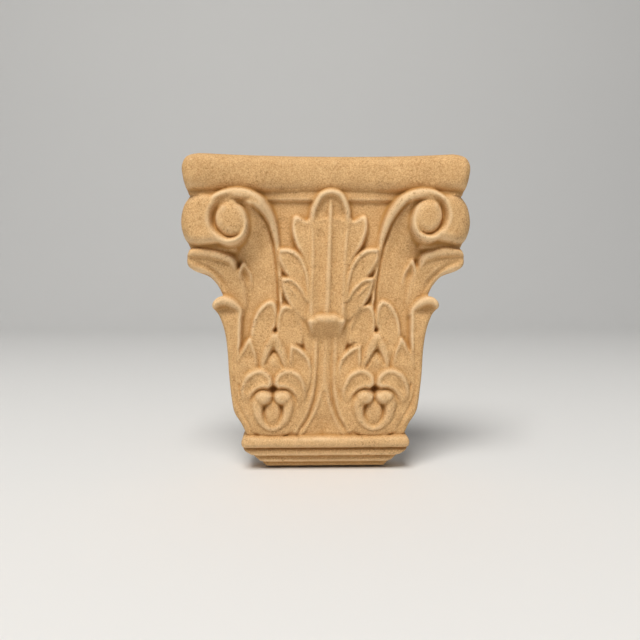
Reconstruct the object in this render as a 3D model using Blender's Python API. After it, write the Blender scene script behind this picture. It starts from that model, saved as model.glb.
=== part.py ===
"""A small Corinthian pilaster capital, moulded in one piece of pressed wood with a flat back.

It stands upright, with its carved face towards -Y and its back on the plane y = 0.
The origin is the middle of the back. Sizes are millimetres, and the mesh is made in metres.
"""

import bmesh
import bpy
import numpy as np

MM = 0.001

# Overall sizes, in millimetres. The walls spread by the draft towards the back, all the way round.
WIDTH = 72.6
HEIGHT = 80.4
BASE_HEIGHT = 9.8
ABACUS_HEIGHT = 9.3
DRAFT = 0.5

# The mesh: rows and columns of the fine face, and the triangles that are left when it is thinned
ROWS = 220
COLUMNS = 181
TRIANGLES = 9400

# Depths from the flat back, in millimetres
BELL_FOOT_DEPTH = 10.1
BELL_WAIST_DEPTH = 11.2
BELL_TOP_DEPTH = 12.4
ABACUS_MIDDLE_DEPTH = 15.0
ABACUS_HORN_DEPTH = 20.0
NECK_FILLET_DEPTH = 13.3
VOLUTE_DEPTH = 18.6
STEM_DEPTH = 12.2
CENTRE_LEAF_DEPTH = 13.7
CENTRE_LEAF_TIP_DEPTH = 16.0
LEDGE_DEPTH = 15.2
TRUNK_DEPTH = 11.6
SIDE_LEAF_DEPTH = 12.2
SIDE_LEAF_TIP_DEPTH = 16.4
FOOT_LEAF_TIP_DEPTH = 14.8
ACANTHUS_DEPTH = 12.4
SCROLL_DEPTH = 12.8
TORUS_DEPTH = 12.0
FILLET_STEP = 1.5
WALL_SLOPE = 4.0

# The drawing that the carving follows, in millimetres at the real size, with its middle at nought.
# The outline of its right half, from the foot up: half-width and height of each point that shapes it.
# The stretches are the moulding at the foot, the foot leaf, the side leaf, the volute and the abacus.
OUTLINE = [
    [(15.4, -40.0), (16.8, -38.4), (18.0, -37.2), (19.5, -35.9), (21.0, -34.7), (21.6, -32.6),
     (21.2, -31.1), (20.3, -30.1)],
    [(20.3, -30.1), (21.6, -27.3), (23.3, -24.4), (24.0, -20.6), (24.6, -14.5), (24.9, -8.5),
     (25.5, -3.8), (26.7, 0.0), (28.2, 2.3), (28.2, 3.7), (27.1, 4.9), (25.8, 5.3)],
    [(25.8, 5.3), (27.2, 8.0), (29.3, 10.1), (32.5, 11.5), (34.1, 12.9), (34.2, 14.9), (33.6, 16.6)],
    [(33.6, 16.6), (35.2, 20.0), (35.8, 23.6), (35.1, 27.2), (33.6, 29.8)],
    [(33.6, 29.8), (34.4, 32.6), (34.9, 36.2), (34.2, 38.4), (32.7, 39.5), (30.9, 40.0)],
]
DRAWN_HALF_WIDTH = max(half for stretch in OUTLINE for half, height in stretch)
DRAWN_HALF_HEIGHT = OUTLINE[-1][-1][1]
DRAWN_BELL_FOOT = OUTLINE[0][-1][1]
DRAWN_BELL_TOP = OUTLINE[-1][0][1] + 1.4

# The middle of each pair of scrolls, and how far the bell dips over the torus between the corners
SCROLL_MIDDLE = 12.95
FOOT_DIP = 0.5

# The radius of the face's rounded outer edge at each end of the outline's stretches
EDGE_RADII = {"foot": 1.4, "leaves": 0.9, "volute": 4.5, "abacus": 2.6}

# How the real piece departs from an even one: its carving leans to the right towards the top, and the
# volute on the left sits lower
LEAN = 0.034
LEAN_HEIGHT = -5.0
LEFT_SINK = 1.1


def smooth(low, high, value):
    """Nought below low and one above high, with an even S curve between."""
    share = np.clip((value - low) / (high - low), 0.0, 1.0)
    return share * share * (3.0 - 2.0 * share)


def curve(points, steps=8):
    """A smooth line through the points, with the given number of steps between each two."""
    points = np.asarray(points, float)
    ends = np.vstack([2 * points[0] - points[1], points, 2 * points[-1] - points[-2]])
    t = np.linspace(0.0, 1.0, steps, endpoint=False)[:, None]
    line = []
    for before, start, stop, after in zip(ends, ends[1:], ends[2:], ends[3:]):
        bend = 2 * before - 5 * start + 4 * stop - after
        twist = 3 * start - before - 3 * stop + after
        line.append(0.5 * (2 * start + (stop - before) * t + bend * t ** 2 + twist * t ** 3))
    return np.vstack(line + [points[-1:]])


def shortened(line, length):
    """The line without the last stretch of the given length."""
    along = np.concatenate([[0.0], np.cumsum(np.hypot(*np.diff(line, axis=0).T))])
    places = np.linspace(0.0, along[-1] - length, len(line))
    return np.column_stack([np.interp(places, along, line[:, axis]) for axis in (0, 1)])


def nearest(x, z, line):
    """The distance of each place from a line, and the share of its length where it is nearest."""
    lengths = np.hypot(*np.diff(line, axis=0).T)
    starts = np.concatenate([[0.0], np.cumsum(lengths)])
    best = np.full(x.shape, np.inf)
    share = np.zeros(x.shape)
    for (ax, az), (bx, bz), length, start in zip(line, line[1:], lengths, starts):
        t = np.clip(((x - ax) * (bx - ax) + (z - az) * (bz - az)) / length ** 2, 0.0, 1.0)
        distance = np.hypot(x - ax - t * (bx - ax), z - az - t * (bz - az))
        closer = distance < best
        best[closer] = distance[closer]
        share[closer] = (start + t[closer] * length) / starts[-1]
    return best, share


def within(x, z, line):
    """Whether each point lies inside a closed line."""
    inside = np.zeros(x.shape, bool)
    for (x0, z0), (x1, z1) in zip(line[:-1], line[1:]):
        if z0 != z1:
            crossing = x0 + (z - z0) * (x1 - x0) / (z1 - z0)
            inside ^= ((z0 > z) != (z1 > z)) & (x < crossing)
    return inside


def round_edge(inside, radius):
    """The drop of a rounded edge, by the distance inside it. Outside, the wall falls steeply."""
    share = np.clip(1.0 - inside / radius, 0.0, 1.0)
    rounded = radius * (1.0 - np.sqrt(1.0 - share ** 2))
    return rounded + WALL_SLOPE * np.clip(-inside, 0.0, None)


def outline_half_width(z):
    """Half of the drawn width at each height."""
    line = np.vstack([curve(stretch) for stretch in OUTLINE])
    heights = np.maximum.accumulate(line[:, 1])
    return np.interp(z, heights, line[:, 0])


class Relief:
    """The carved face: a depth at each place of the right half, which the left half mirrors."""

    def __init__(self, x, z):
        self.x = x
        self.z = z
        self.depth = np.zeros(x.shape)

    def near(self, line, reach):
        low = line.min(axis=0) - reach
        high = line.max(axis=0) + reach
        return ((self.x > low[0]) & (self.x < high[0]) & (self.z > low[1]) & (self.z < high[1]))

    def raise_to(self, where, depth):
        self.depth[where] = np.maximum(self.depth[where], depth)

    def lobe(self, points, widths, depths, edge=1.0, rim=0.0, scoop=0.0):
        """A leaf lobe along a spine from its root to its round tip, with a dished face inside its rim.

        widths are half-widths at equal shares of the spine, and depths likewise."""
        line = shortened(curve(points), widths[-1])
        where = self.near(line, max(widths) + 3.0)
        away, share = nearest(self.x[where], self.z[where], line)
        inside = np.interp(share, np.linspace(0, 1, len(widths)), widths) - away
        top = np.interp(share, np.linspace(0, 1, len(depths)), depths)
        top = top - round_edge(inside, edge)
        if scoop:
            top -= scoop * smooth(rim, rim + 1.3, inside) * smooth(0.0, 0.25, share)
        self.raise_to(where, top)

    def leaf(self, points, root, tip, depths, edge=0.8, rim=0.0, scoop=0.0):
        """A leaf lobe with the outline through points, its depth running from the root to the tip.

        Its face is dished inside its rim, more so towards the tip."""
        line = curve(points + points[:1])
        where = self.near(line, 3.0)
        x, z = self.x[where], self.z[where]
        away = nearest(x, z, line)[0]
        inside = np.where(within(x, z, line), away, -away)
        run, rise = tip[0] - root[0], tip[1] - root[1]
        share = np.clip(((x - root[0]) * run + (z - root[1]) * rise) / (run ** 2 + rise ** 2), 0.0, 1.0)
        top = depths[0] + (depths[1] - depths[0]) * share - round_edge(inside, edge)
        if scoop:
            top -= scoop * smooth(rim, rim + 1.2, inside) * smooth(0.15, 0.6, share)
        self.raise_to(where, top)

    def ridge(self, points, widths, depths, flat=0.0):
        """A round band along a line, with half-widths and depths at equal shares of its length."""
        line = curve(points)
        where = self.near(line, max(widths) + 3.0)
        away, share = nearest(self.x[where], self.z[where], line)
        half = np.interp(share, np.linspace(0, 1, len(widths)), widths)
        top = np.interp(share, np.linspace(0, 1, len(depths)), depths)
        radius = half * (1.0 - flat)
        self.raise_to(where, top - round_edge(half - away, np.maximum(radius, 0.2)))

    def groove(self, points, widths, cuts):
        """A round-bottomed groove along a line, with half-widths and cuts at equal shares of it."""
        line = curve(points)
        where = self.near(line, 3.0 * max(widths))
        away, share = nearest(self.x[where], self.z[where], line)
        half = np.interp(share, np.linspace(0, 1, len(widths)), widths)
        cut = np.interp(share, np.linspace(0, 1, len(cuts)), cuts)
        self.depth[where] -= cut * np.exp(-(away / half) ** 2)

    def swell(self, centre, radii, amount):
        """A soft bump, or a hollow where amount is negative."""
        q = ((self.x - centre[0]) / radii[0]) ** 2 + ((self.z - centre[1]) / radii[1]) ** 2
        self.depth += amount * np.exp(-q)

    def dome(self, centre, radii, depth, rise):
        """An oval boss that rises to depth at its middle."""
        q = ((self.x - centre[0]) / radii[0]) ** 2 + ((self.z - centre[1]) / radii[1]) ** 2
        away = (np.sqrt(q) - 1.0) * min(radii)
        top = depth - rise * np.clip(q, 0.0, 1.0) ** 1.5 - WALL_SLOPE * np.clip(away, 0.0, None)
        self.depth = np.maximum(self.depth, top)


def ground(relief):
    """The plain bell behind the carving, which flares forward towards its top."""
    heights = [DRAWN_BELL_FOOT, 5.0, DRAWN_BELL_TOP]
    depths = [BELL_FOOT_DEPTH, BELL_WAIST_DEPTH, BELL_TOP_DEPTH]
    relief.depth = np.interp(relief.z, heights, depths)


def neck_fillet(relief):
    """The narrow fillet between the bell and the abacus."""
    relief.ridge(
        [(0.0, 30.0), (30.0, 30.0)], [1.15, 1.15], [NECK_FILLET_DEPTH, NECK_FILLET_DEPTH], flat=0.75,
    )


def volute(relief):
    """The volute: a rolled side, a ribbon that winds up from the stem, and a round eye."""
    proud = VOLUTE_DEPTH
    groove = [
        (12.1, 2.9), (12.4, 4.8), (12.6, 8.4), (13.0, 12.0), (13.4, 14.8), (14.0, 18.0), (14.8, 20.9),
        (15.6, 23.4), (16.6, 25.3), (17.8, 26.9), (19.2, 28.2),
    ]
    # The bell to the right of the groove rises with the stem, and meets the ribbon at the top
    line = curve(groove)
    beyond = relief.x - np.interp(relief.z, line[:, 1], line[:, 0])
    climb = np.interp(relief.z, [4.0, 15.0, 21.0, 26.0, 29.0], [0.3, 0.5, 1.1, 2.4, 4.2])
    raised = relief.depth + (climb - 0.32 * np.clip(beyond, 0.0, None)).clip(0.0)
    within_bell = (beyond > 0.0) & (relief.z > 4.0) & (relief.z < 30.0)
    relief.raise_to(within_bell, raised[within_bell])
    # The drum behind the ribbon and the roll at its outer side
    relief.swell((20.2, 22.3), (2.9, 5.2), 3.0)
    relief.dome((24.2, 24.8), (3.6, 4.4), proud - 2.0, 0.6)
    relief.lobe([(27.6, 24.4), (38.0, 24.0)], [5.4, 5.8, 6.2], [proud + 0.1, proud - 0.4], edge=2.2)
    relief.ridge(
        [(23.5, 17.9), (28.0, 17.9), (34.0, 17.3)], [0.8, 0.9], [proud - 4.4, proud - 2.6], flat=0.3,
    )
    relief.ridge([(27.6, 30.3), (34.0, 30.2)], [0.9, 1.0], [proud - 2.2, proud - 1.4], flat=0.3)
    # The ribbon climbs the stem, passes over the eye and round it, and closes on its inner side
    ribbon = [
        (11.6, 2.2), (11.8, 6.0), (12.2, 11.0), (12.7, 15.5), (13.3, 19.5), (14.2, 22.8), (15.4, 25.4),
        (16.9, 27.6), (18.5, 29.0), (20.7, 30.0), (23.5, 30.2), (26.3, 29.4), (28.5, 27.6),
        (29.3, 24.7), (28.1, 21.5), (24.9, 19.7), (22.7, 20.1), (21.3, 21.3), (20.7, 23.0),
        (20.7, 24.9), (21.3, 26.4),
    ]
    widths = [0.4, 0.5, 0.65, 0.75, 0.9, 1.0, 1.15, 1.3, 1.2, 1.0, 0.55, 0.25]
    climbing = [STEM_DEPTH + rise for rise in (-0.1, 0.0, 0.2, 0.7, 2.8)]
    depths = climbing + [proud + rise for rise in (-0.8, 0.1, 0.1, 0.1, -0.1, -0.3, -0.5)]
    relief.ridge(ribbon, widths, depths, flat=0.15)
    hollow = [
        (23.2, 29.5), (24.6, 29.4), (26.9, 28.1), (27.9, 25.4), (27.3, 22.7), (24.8, 21.0),
        (22.6, 21.7), (21.7, 23.7),
    ]
    cuts = [0.0, 0.9, 2.2, 2.8, 2.6, 2.2, 1.6, 0.4]
    relief.groove(hollow, [0.45, 0.7, 0.95, 0.9, 0.75, 0.6, 0.4], cuts)
    relief.dome((24.0, 24.9), (3.5, 3.9), proud + 0.2, 1.0)
    # The groove between the stem and the bell
    relief.groove(groove, [0.26, 0.3, 0.32, 0.34, 0.3], [0.9, 1.0, 0.9, 0.9, 0.9, 1.0])


def abacus(relief):
    """The abacus: a pillowed slab, hollow in plan, so that its horns stand forward."""
    outwards = np.clip(relief.x / 33.0, 0.0, 1.0) ** 2.2
    plan = ABACUS_MIDDLE_DEPTH + (ABACUS_HORN_DEPTH - ABACUS_MIDDLE_DEPTH) * outwards
    low = DRAWN_BELL_TOP
    high = DRAWN_HALF_HEIGHT
    middle = (low + high) / 2 + 0.3
    half = (high - low) / 2 + 0.3
    across = np.clip(np.abs((relief.z - middle) / half), 0.0, 0.999)
    pillow = np.where(relief.z > middle, 3.2 * (1.0 - np.sqrt(1.0 - across ** 2.6)),
                      2.3 * (1.0 - np.sqrt(1.0 - across ** 2.2)))
    slab = plan - pillow - WALL_SLOPE * np.clip(low - relief.z, 0.0, None)
    relief.raise_to(relief.z > low - 2.0, slab[relief.z > low - 2.0])


def upper_side_leaf(relief):
    """The leaf that curls out under the volute, its fold line and the small lobe beside it."""
    deep = SIDE_LEAF_DEPTH
    tip = SIDE_LEAF_TIP_DEPTH
    relief.lobe(
        [(24.0, -2.0), (23.6, 5.0), (25.0, 10.4), (29.0, 13.6), (36.0, 13.8)],
        [3.2, 4.2, 3.8, 3.1, 2.7], [deep - 0.9, deep - 0.2, deep + 0.7, tip - 1.9, tip - 0.8], edge=1.8,
    )
    relief.leaf(
        [(18.5, 5.0), (18.5, 8.6), (19.1, 11.3), (20.0, 13.0), (21.0, 14.3), (21.8, 13.2), (22.3, 11.2),
         (22.4, 8.5), (22.2, 5.0)],
        (20.4, 6.0), (21.0, 14.0), (deep - 0.9, deep + 0.6), edge=0.5, rim=0.35, scoop=0.7,
    )
    relief.leaf(
        [(23.2, 6.0), (22.9, 9.5), (22.7, 12.8), (23.2, 15.0), (24.5, 16.4), (26.1, 17.1), (28.9, 17.6),
         (31.8, 17.8), (36.5, 17.4), (37.5, 14.6), (33.6, 14.3), (31.4, 13.5), (28.6, 11.6),
         (26.6, 9.5), (24.9, 6.8), (24.0, 4.6)],
        (27.4, 7.0), (27.6, 17.0), (deep - 0.3, tip - 1.5), edge=1.0,
    )
    relief.ridge(
        [(23.4, 12.6), (24.3, 14.5), (25.9, 15.5), (28.2, 16.1), (31.2, 16.3), (35.0, 15.9)],
        [0.6, 1.1, 1.25, 1.25, 1.15], [deep + 1.5, tip - 1.0, tip - 0.2, tip + 0.1, tip + 0.2],
        flat=0.0,
    )
    relief.ridge(
        [(21.1, 13.9), (21.7, 12.7), (22.0, 10.9), (21.9, 8.0)], [0.35, 0.45, 0.4],
        [deep + 1.0, deep + 1.1, deep + 0.8, deep - 0.2], flat=0.0,
    )
    relief.groove(
        [(33.2, 14.2), (31.4, 13.6), (28.6, 11.9), (26.6, 9.8), (24.9, 7.0), (24.1, 4.5)],
        [0.5, 0.6, 0.7], [0.1, 0.6, 0.9, 0.8, 0.4, 0.0],
    )
    relief.swell((22.3, 13.7), (0.4, 0.8), -0.9)


def foot_side_leaf(relief):
    """The long leaf up each side of the foot, dished between its rims, with a thick cap at its tip."""
    tip = FOOT_LEAF_TIP_DEPTH
    relief.leaf(
        [(21.3, 1.2), (21.4, -2.0), (21.5, -6.0), (21.9, -10.6), (22.2, -15.0), (21.9, -19.0),
         (20.9, -22.2), (19.2, -25.6), (17.9, -29.0), (17.6, -33.0), (24.0, -33.0), (28.0, -20.0),
         (28.0, -6.0), (31.0, 0.0), (31.0, 4.2), (26.0, 4.4), (23.0, 3.4)],
        (21.0, -28.0), (25.0, 3.0), (BELL_FOOT_DEPTH + 0.9, tip - 1.2), edge=0.7, rim=0.1, scoop=0.5,
    )
    relief.swell((25.2, 1.6), (2.4, 1.4), -0.8)
    relief.ridge(
        [(28.4, 3.0), (27.2, 3.9), (25.8, 4.2), (24.4, 3.9), (23.1, 3.1), (22.0, 2.0), (21.5, 0.6)],
        [1.1, 1.2, 1.1, 1.0, 0.8, 0.5], [tip, tip + 0.1, tip - 0.1, tip - 0.6, tip - 1.2, tip - 2.0],
        flat=0.0,
    )
    relief.ridge(
        [(21.6, 1.0), (21.8, -4.0), (22.3, -10.0), (22.6, -16.0), (22.1, -20.5), (20.6, -24.5),
         (18.8, -28.5)],
        [0.45, 0.5, 0.5], [12.5, 12.2, 11.9, 11.4, 10.9], flat=0.0,
    )
    relief.groove(
        [(22.8, -3.3), (22.7, -10.6), (22.9, -16.0), (22.8, -19.7), (21.8, -22.8), (20.1, -26.0),
         (18.9, -28.6)],
        [0.3, 0.35, 0.35], [0.1, 0.25, 0.45, 0.5, 0.4],
    )


def centre_leaf(relief):
    """The tall leaf up the middle: three pairs of side lobes, a ribbed blade and a curled tip."""
    deep = CENTRE_LEAF_DEPTH
    # The foot of the leaf, which spreads to the lobes below it
    relief.leaf(
        [(0.0, 6.0), (5.0, 6.0), (6.6, 3.4), (6.8, 0.4), (6.2, -3.0), (5.6, -6.4), (3.0, -6.4),
         (0.0, -1.0)],
        (4.0, -6.0), (4.0, 4.0), (TRUNK_DEPTH - 0.1, deep - 0.9), edge=0.9,
    )
    # The lowest pair of lobes, and the pair above it
    relief.leaf(
        [(3.6, 3.0), (6.2, 7.2), (8.0, 9.0), (9.8, 9.9), (11.0, 9.9), (11.6, 8.8), (11.4, 7.2),
         (10.6, 4.8), (9.0, 2.4), (7.2, 0.4), (5.4, -0.8), (3.0, -0.8)],
        (5.3, 1.0), (10.9, 9.3), (deep - 0.9, deep - 0.4), edge=0.6,
    )
    relief.leaf(
        [(4.2, 4.0), (4.6, 8.0), (5.2, 11.6), (6.6, 14.6), (8.8, 16.5), (10.6, 17.1), (12.3, 16.8),
         (12.5, 14.8), (12.0, 12.9), (11.0, 10.8), (8.8, 8.4), (6.3, 5.0), (3.4, 1.6)],
        (5.3, 5.0), (11.7, 16.0), (deep - 0.7, deep - 0.2), edge=0.6,
    )
    relief.ridge(
        [(11.8, 16.5), (10.2, 16.5), (8.6, 15.9), (6.9, 14.2), (5.6, 11.4), (5.0, 8.0), (4.8, 4.0)],
        [0.5, 0.55, 0.5, 0.4], [deep + 0.3, deep + 0.4, deep + 0.2, deep - 0.2], flat=0.0,
    )
    relief.ridge(
        [(11.0, 9.3), (9.6, 9.3), (8.0, 8.4), (6.4, 6.6), (5.2, 4.2)],
        [0.45, 0.5, 0.4], [deep + 0.1, deep + 0.2, deep - 0.3], flat=0.0,
    )
    relief.ridge(
        [(10.2, 7.9), (8.6, 6.4), (7.2, 4.2)], [0.35, 0.4, 0.3], [deep - 0.2, deep - 0.2, deep - 0.7],
        flat=0.0,
    )
    # The blade with the upper pair, whose slanted tips stand beside the top lobe
    relief.leaf(
        [(-5.2, 24.2), (0.0, 25.0), (5.2, 24.0), (6.8, 24.4), (8.2, 25.2), (9.2, 24.6), (9.4, 22.0),
         (8.8, 19.4), (8.0, 17.4), (6.6, 15.2), (5.2, 12.2), (4.7, 9.0), (4.5, 4.0), (4.5, -0.8),
         (-4.5, -0.8)],
        (0.0, 0.0), (0.0, 25.0), (deep - 0.3, deep + 0.2), edge=0.7, rim=0.5, scoop=0.25,
    )
    relief.leaf(
        [(-5.2, 24.6), (-4.7, 27.4), (-2.9, 30.6), (0.0, 31.7), (2.9, 30.6), (4.7, 27.4), (5.2, 24.6),
         (5.2, 21.6), (4.8, 18.0), (-4.8, 18.0)],
        (0.0, 20.0), (0.0, 31.0), (deep - 0.5, CENTRE_LEAF_TIP_DEPTH), edge=1.4, rim=0.9, scoop=1.4,
    )
    # The ribs of the blade and the channels between them
    relief.ridge(
        [(0.0, -1.0), (0.0, 29.0)], [0.95, 0.85, 0.6],
        [deep + 0.35, deep + 0.4, deep + 0.5, deep + 0.8], flat=0.0,
    )
    relief.ridge(
        [(3.9, -1.0), (4.0, 12.0), (4.2, 20.0), (4.8, 24.0)], [0.8, 0.7],
        [deep + 0.05, deep + 0.15, deep + 0.3], flat=0.0,
    )
    relief.groove([(1.9, 0.0), (2.0, 24.0)], [0.8, 0.9], [0.35, 0.4, 0.2])
    # The notches beside the lobes, cut down to the bell
    relief.groove([(12.6, 13.8), (11.7, 11.6), (10.4, 10.2)], [0.3, 0.5, 0.4], [0.6, 1.5, 0.9])
    relief.groove([(11.9, 8.2), (11.1, 5.2), (9.6, 2.9)], [0.3, 0.4, 0.3], [0.6, 0.9, 0.5])
    relief.groove([(9.7, 20.4), (8.6, 17.4)], [0.4, 0.4], [0.2, 0.7])


def ledge(relief):
    """The tip of the leaf below, curled forward into a short ledge whose underside slopes back."""
    relief.leaf(
        [(-4.3, -0.4), (0.0, -0.2), (4.3, -0.4), (4.3, -2.8), (3.6, -5.2), (0.0, -6.2), (-3.6, -5.2),
         (-4.3, -2.8)],
        (0.0, -5.2), (0.0, -1.2), (TRUNK_DEPTH - 0.1, LEDGE_DEPTH - 0.6), edge=0.8,
    )
    relief.ridge(
        [(0.0, -0.4), (2.0, -0.45), (3.2, -0.8)], [1.25, 1.2, 1.0],
        [LEDGE_DEPTH, LEDGE_DEPTH - 0.2, LEDGE_DEPTH - 0.8],
    )


def trunk(relief):
    """The fluted trunk below the ledge, which parts at its foot round a three-cornered hollow."""
    deep = TRUNK_DEPTH
    relief.leaf(
        [(0.0, -2.0), (3.6, -2.0), (3.6, -14.0), (3.9, -20.0), (5.4, -25.0), (7.6, -28.2), (9.0, -31.0),
         (0.0, -31.0)],
        (0.0, -30.0), (0.0, -6.0), (deep - 0.9, deep - 0.1), edge=0.8,
    )
    relief.ridge(
        [(0.0, -1.0), (0.0, -18.5)], [1.1, 1.0, 1.0], [deep + 0.1, deep + 0.05, deep - 0.05], flat=0.0,
    )
    relief.ridge(
        [(0.4, -17.0), (1.2, -21.0), (2.5, -25.0), (4.3, -28.4), (5.6, -30.4)],
        [0.7, 0.8, 0.9, 0.9], [deep - 0.1, deep - 0.3, deep - 0.7], flat=0.0,
    )
    relief.ridge(
        [(2.5, -1.0), (2.5, -10.0), (2.6, -16.0), (3.2, -20.5), (4.7, -25.2), (7.0, -29.0)],
        [0.95, 0.95, 0.95, 1.0, 1.2], [deep + 0.2, deep + 0.2, deep, deep - 0.3], flat=0.0,
    )
    relief.groove(
        [(1.5, -4.0), (1.55, -10.0), (1.7, -15.5), (2.2, -20.4), (3.5, -25.0), (5.3, -28.2)],
        [0.3, 0.35, 0.4], [0.15, 0.35, 0.45, 0.6, 0.5],
    )
    relief.swell((0.0, -28.2), (3.0, 3.3), -1.1)
    relief.swell((0.0, -3.6), (4.6, 1.4), -0.7)
    relief.ridge(
        [(4.8, -2.0), (4.6, -6.0), (4.0, -10.0)], [1.2, 1.1, 0.7], [deep + 0.1, deep, deep - 0.2],
        flat=0.5,
    )


def acanthus(relief):
    """The leaf between the trunk and the side leaf: lobes that fan out from behind the scrolls."""
    deep = ACANTHUS_DEPTH
    middle = SCROLL_MIDDLE
    relief.lobe(
        [(middle, -24.0), (middle, -12.0), (middle, -2.5)], [7.4, 8.4, 5.8],
        [deep - 0.8, deep - 0.5, deep - 0.6], edge=2.0,
    )
    relief.leaf(
        [(17.0, -12.0), (17.3, -9.6), (18.1, -7.4), (19.0, -5.4), (20.2, -6.2), (21.3, -8.2),
         (22.3, -10.8), (22.8, -15.0), (21.0, -17.5), (17.0, -15.0)],
        (18.6, -14.0), (19.1, -5.8), (deep - 0.6, deep + 0.5), edge=0.5, rim=0.35, scoop=0.6,
    )
    relief.leaf(
        [(12.8, -3.2), (12.3, -0.8), (12.4, 1.4), (13.0, 3.2), (14.2, 4.1), (16.3, 3.0), (18.0, 0.4),
         (18.9, -2.8), (19.0, -6.0), (17.6, -11.0), (14.8, -11.0), (13.4, -6.0)],
        (15.6, -8.0), (14.5, 3.6), (deep - 0.7, deep + 0.5), edge=0.55, rim=0.4, scoop=0.55,
    )
    relief.leaf(
        [(5.5, -5.0), (5.7, -2.6), (6.4, -0.5), (7.8, 1.9), (9.9, 3.0), (11.5, 2.4), (12.5, -0.4),
         (12.7, -3.2), (11.4, -8.0), (8.8, -11.0), (6.4, -8.6)],
        (8.6, -8.5), (9.8, 2.7), (deep - 0.7, deep + 0.4), edge=0.55, rim=0.4, scoop=0.55,
    )
    relief.leaf(
        [(8.9, -7.0), (7.6, -7.4), (5.8, -8.5), (4.2, -10.2), (3.4, -12.4), (3.3, -16.0), (4.4, -19.0),
         (6.6, -17.4), (8.8, -14.0), (9.2, -10.6)],
        (5.5, -17.0), (8.4, -7.6), (deep - 0.5, deep + 0.4), edge=0.5, rim=0.4, scoop=0.7,
    )
    # The inverted V over the scrolls, with the bud inside it
    relief.ridge(
        [(middle - 0.1, -4.9), (middle - 1.4, -8.0), (middle - 2.9, -13.8)],
        [0.95, 1.6, 1.6], [deep + 0.4, deep + 0.3, deep - 0.3], flat=0.25,
    )
    relief.ridge(
        [(middle + 0.3, -5.0), (middle + 1.7, -8.2), (middle + 2.8, -13.2)],
        [0.85, 1.3, 1.2], [deep + 0.3, deep + 0.2, deep - 0.2], flat=0.25,
    )
    relief.groove(
        [(middle - 2.2, -12.6), (middle + 0.1, -8.6), (middle + 2.0, -12.0)],
        [0.3, 0.4, 0.3], [0.9, 1.4, 0.9],
    )
    relief.dome((middle + 0.1, -11.6), (1.7, 1.9), deep - 0.3, 0.7)
    # The deep cuts between the lobes
    relief.groove(
        [(middle - 0.1, -3.6), (middle - 0.4, -1.2), (middle - 0.6, 2.6)],
        [0.28, 0.2, 0.22], [0.9, 0.6, 0.6],
    )
    relief.swell((middle - 0.1, -3.4), (0.5, 0.6), -1.4)
    relief.groove([(17.3, -9.4), (16.6, -12.4), (17.4, -14.4)], [0.4, 0.4], [0.2, 0.5, 0.6])
    relief.groove([(5.3, -8.2), (6.2, -7.4), (7.2, -7.0)], [0.35, 0.4, 0.3], [0.4, 1.1, 0.6])
    relief.groove([(19.9, -5.6), (20.9, -7.6), (21.4, -9.6)], [0.35, 0.4], [0.9, 0.9, 0.1])


def scrolls(relief):
    """The pair of scrolls at the foot of each acanthus, with the cup and the seed between them."""
    deep = SCROLL_DEPTH
    middle = SCROLL_MIDDLE
    relief.dome((middle + 0.2, -21.6), (9.7, 9.2), deep - 0.8, 0.8)
    comma = [
        (0.1, -17.0), (0.4, -15.2), (1.4, -13.9), (3.0, -13.1), (5.0, -13.3), (7.1, -14.7),
        (8.4, -17.3), (8.7, -19.9), (8.0, -22.2), (6.6, -22.4), (5.8, -21.0), (4.9, -19.4),
        (3.5, -18.3), (2.2, -18.0), (1.0, -18.2),
    ]
    ball = [(0.9, -19.3), (2.6, -18.5), (4.4, -19.1), (5.7, -21.0), (5.8, -24.2)]
    for side in (-1, 1):
        relief.leaf(
            [(middle + side * across, height) for across, height in comma],
            (middle + side * 7.6, -22.0), (middle + side * 4.0, -16.0), (deep - 1.1, deep + 0.5),
            edge=0.8, rim=0.7, scoop=0.6,
        )
    # The cup is a horseshoe whose ends are two balls
    relief.swell((middle, -18.6), (1.2, 1.0), -3.0)
    relief.swell((middle, -23.6), (2.8, 3.4), -1.4)
    cup = [
        (-2.6, -20.3), (-4.0, -21.9), (-3.9, -24.0), (-3.2, -26.2), (-1.8, -27.8), (0.0, -28.5),
        (1.8, -27.8), (3.2, -26.2), (3.9, -24.0), (4.0, -21.9), (2.6, -20.3),
    ]
    relief.ridge(
        [(middle + across, height) for across, height in cup],
        [1.5, 1.5, 1.35, 1.0, 0.65, 1.0, 1.35, 1.5, 1.5],
        [deep + rise for rise in (0.2, 0.0, -0.2, -0.5, -0.6, -0.5, -0.2, 0.0, 0.2)], flat=0.1,
    )
    cheek = [(1.0, -21.9), (2.2, -23.0), (2.4, -24.8), (1.6, -26.6)]
    for side in (-1, 1):
        relief.dome((middle + side * 2.5, -20.3), (2.1, 1.8), deep + 0.7, 1.0)
        for line, cuts in ((ball, [0.5, 0.4, 0.3, 0.2, 0.0]), (cheek, [0.5, 0.7, 0.5, 0.1])):
            placed = [(middle + side * across, height) for across, height in line]
            relief.groove(placed, [0.3, 0.37, 0.3], cuts)
    relief.dome((middle, -24.5), (2.1, 3.1), deep - 0.7, 0.7)


def base(relief):
    """The moulding at the foot: a torus and three fillets that step back below it, with fine quirks."""
    moulding = TORUS_DEPTH + 0.2 - round_edge(1.9 - np.abs(relief.z + 31.95), 1.7)
    for count, (height, half) in enumerate([(-35.15, 1.0), (-37.35, 0.9), (-39.4, 0.8)], start=1):
        fillet = TORUS_DEPTH - count * FILLET_STEP - round_edge(half - np.abs(relief.z - height), 0.3)
        moulding = np.maximum(moulding, fillet)
        moulding -= 0.35 * np.exp(-((relief.z - height - half - 0.1) / 0.22) ** 2)
    # The line between the bell and the torus rises a little towards the corner
    line = DRAWN_BELL_FOOT - FOOT_DIP * (1.0 - 0.6 * smooth(12.0, 20.5, relief.x))
    relief.depth = np.where(relief.z < line, moulding, relief.depth)
    relief.depth -= 0.5 * np.exp(-((relief.z - line) / 0.25) ** 2)


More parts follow.
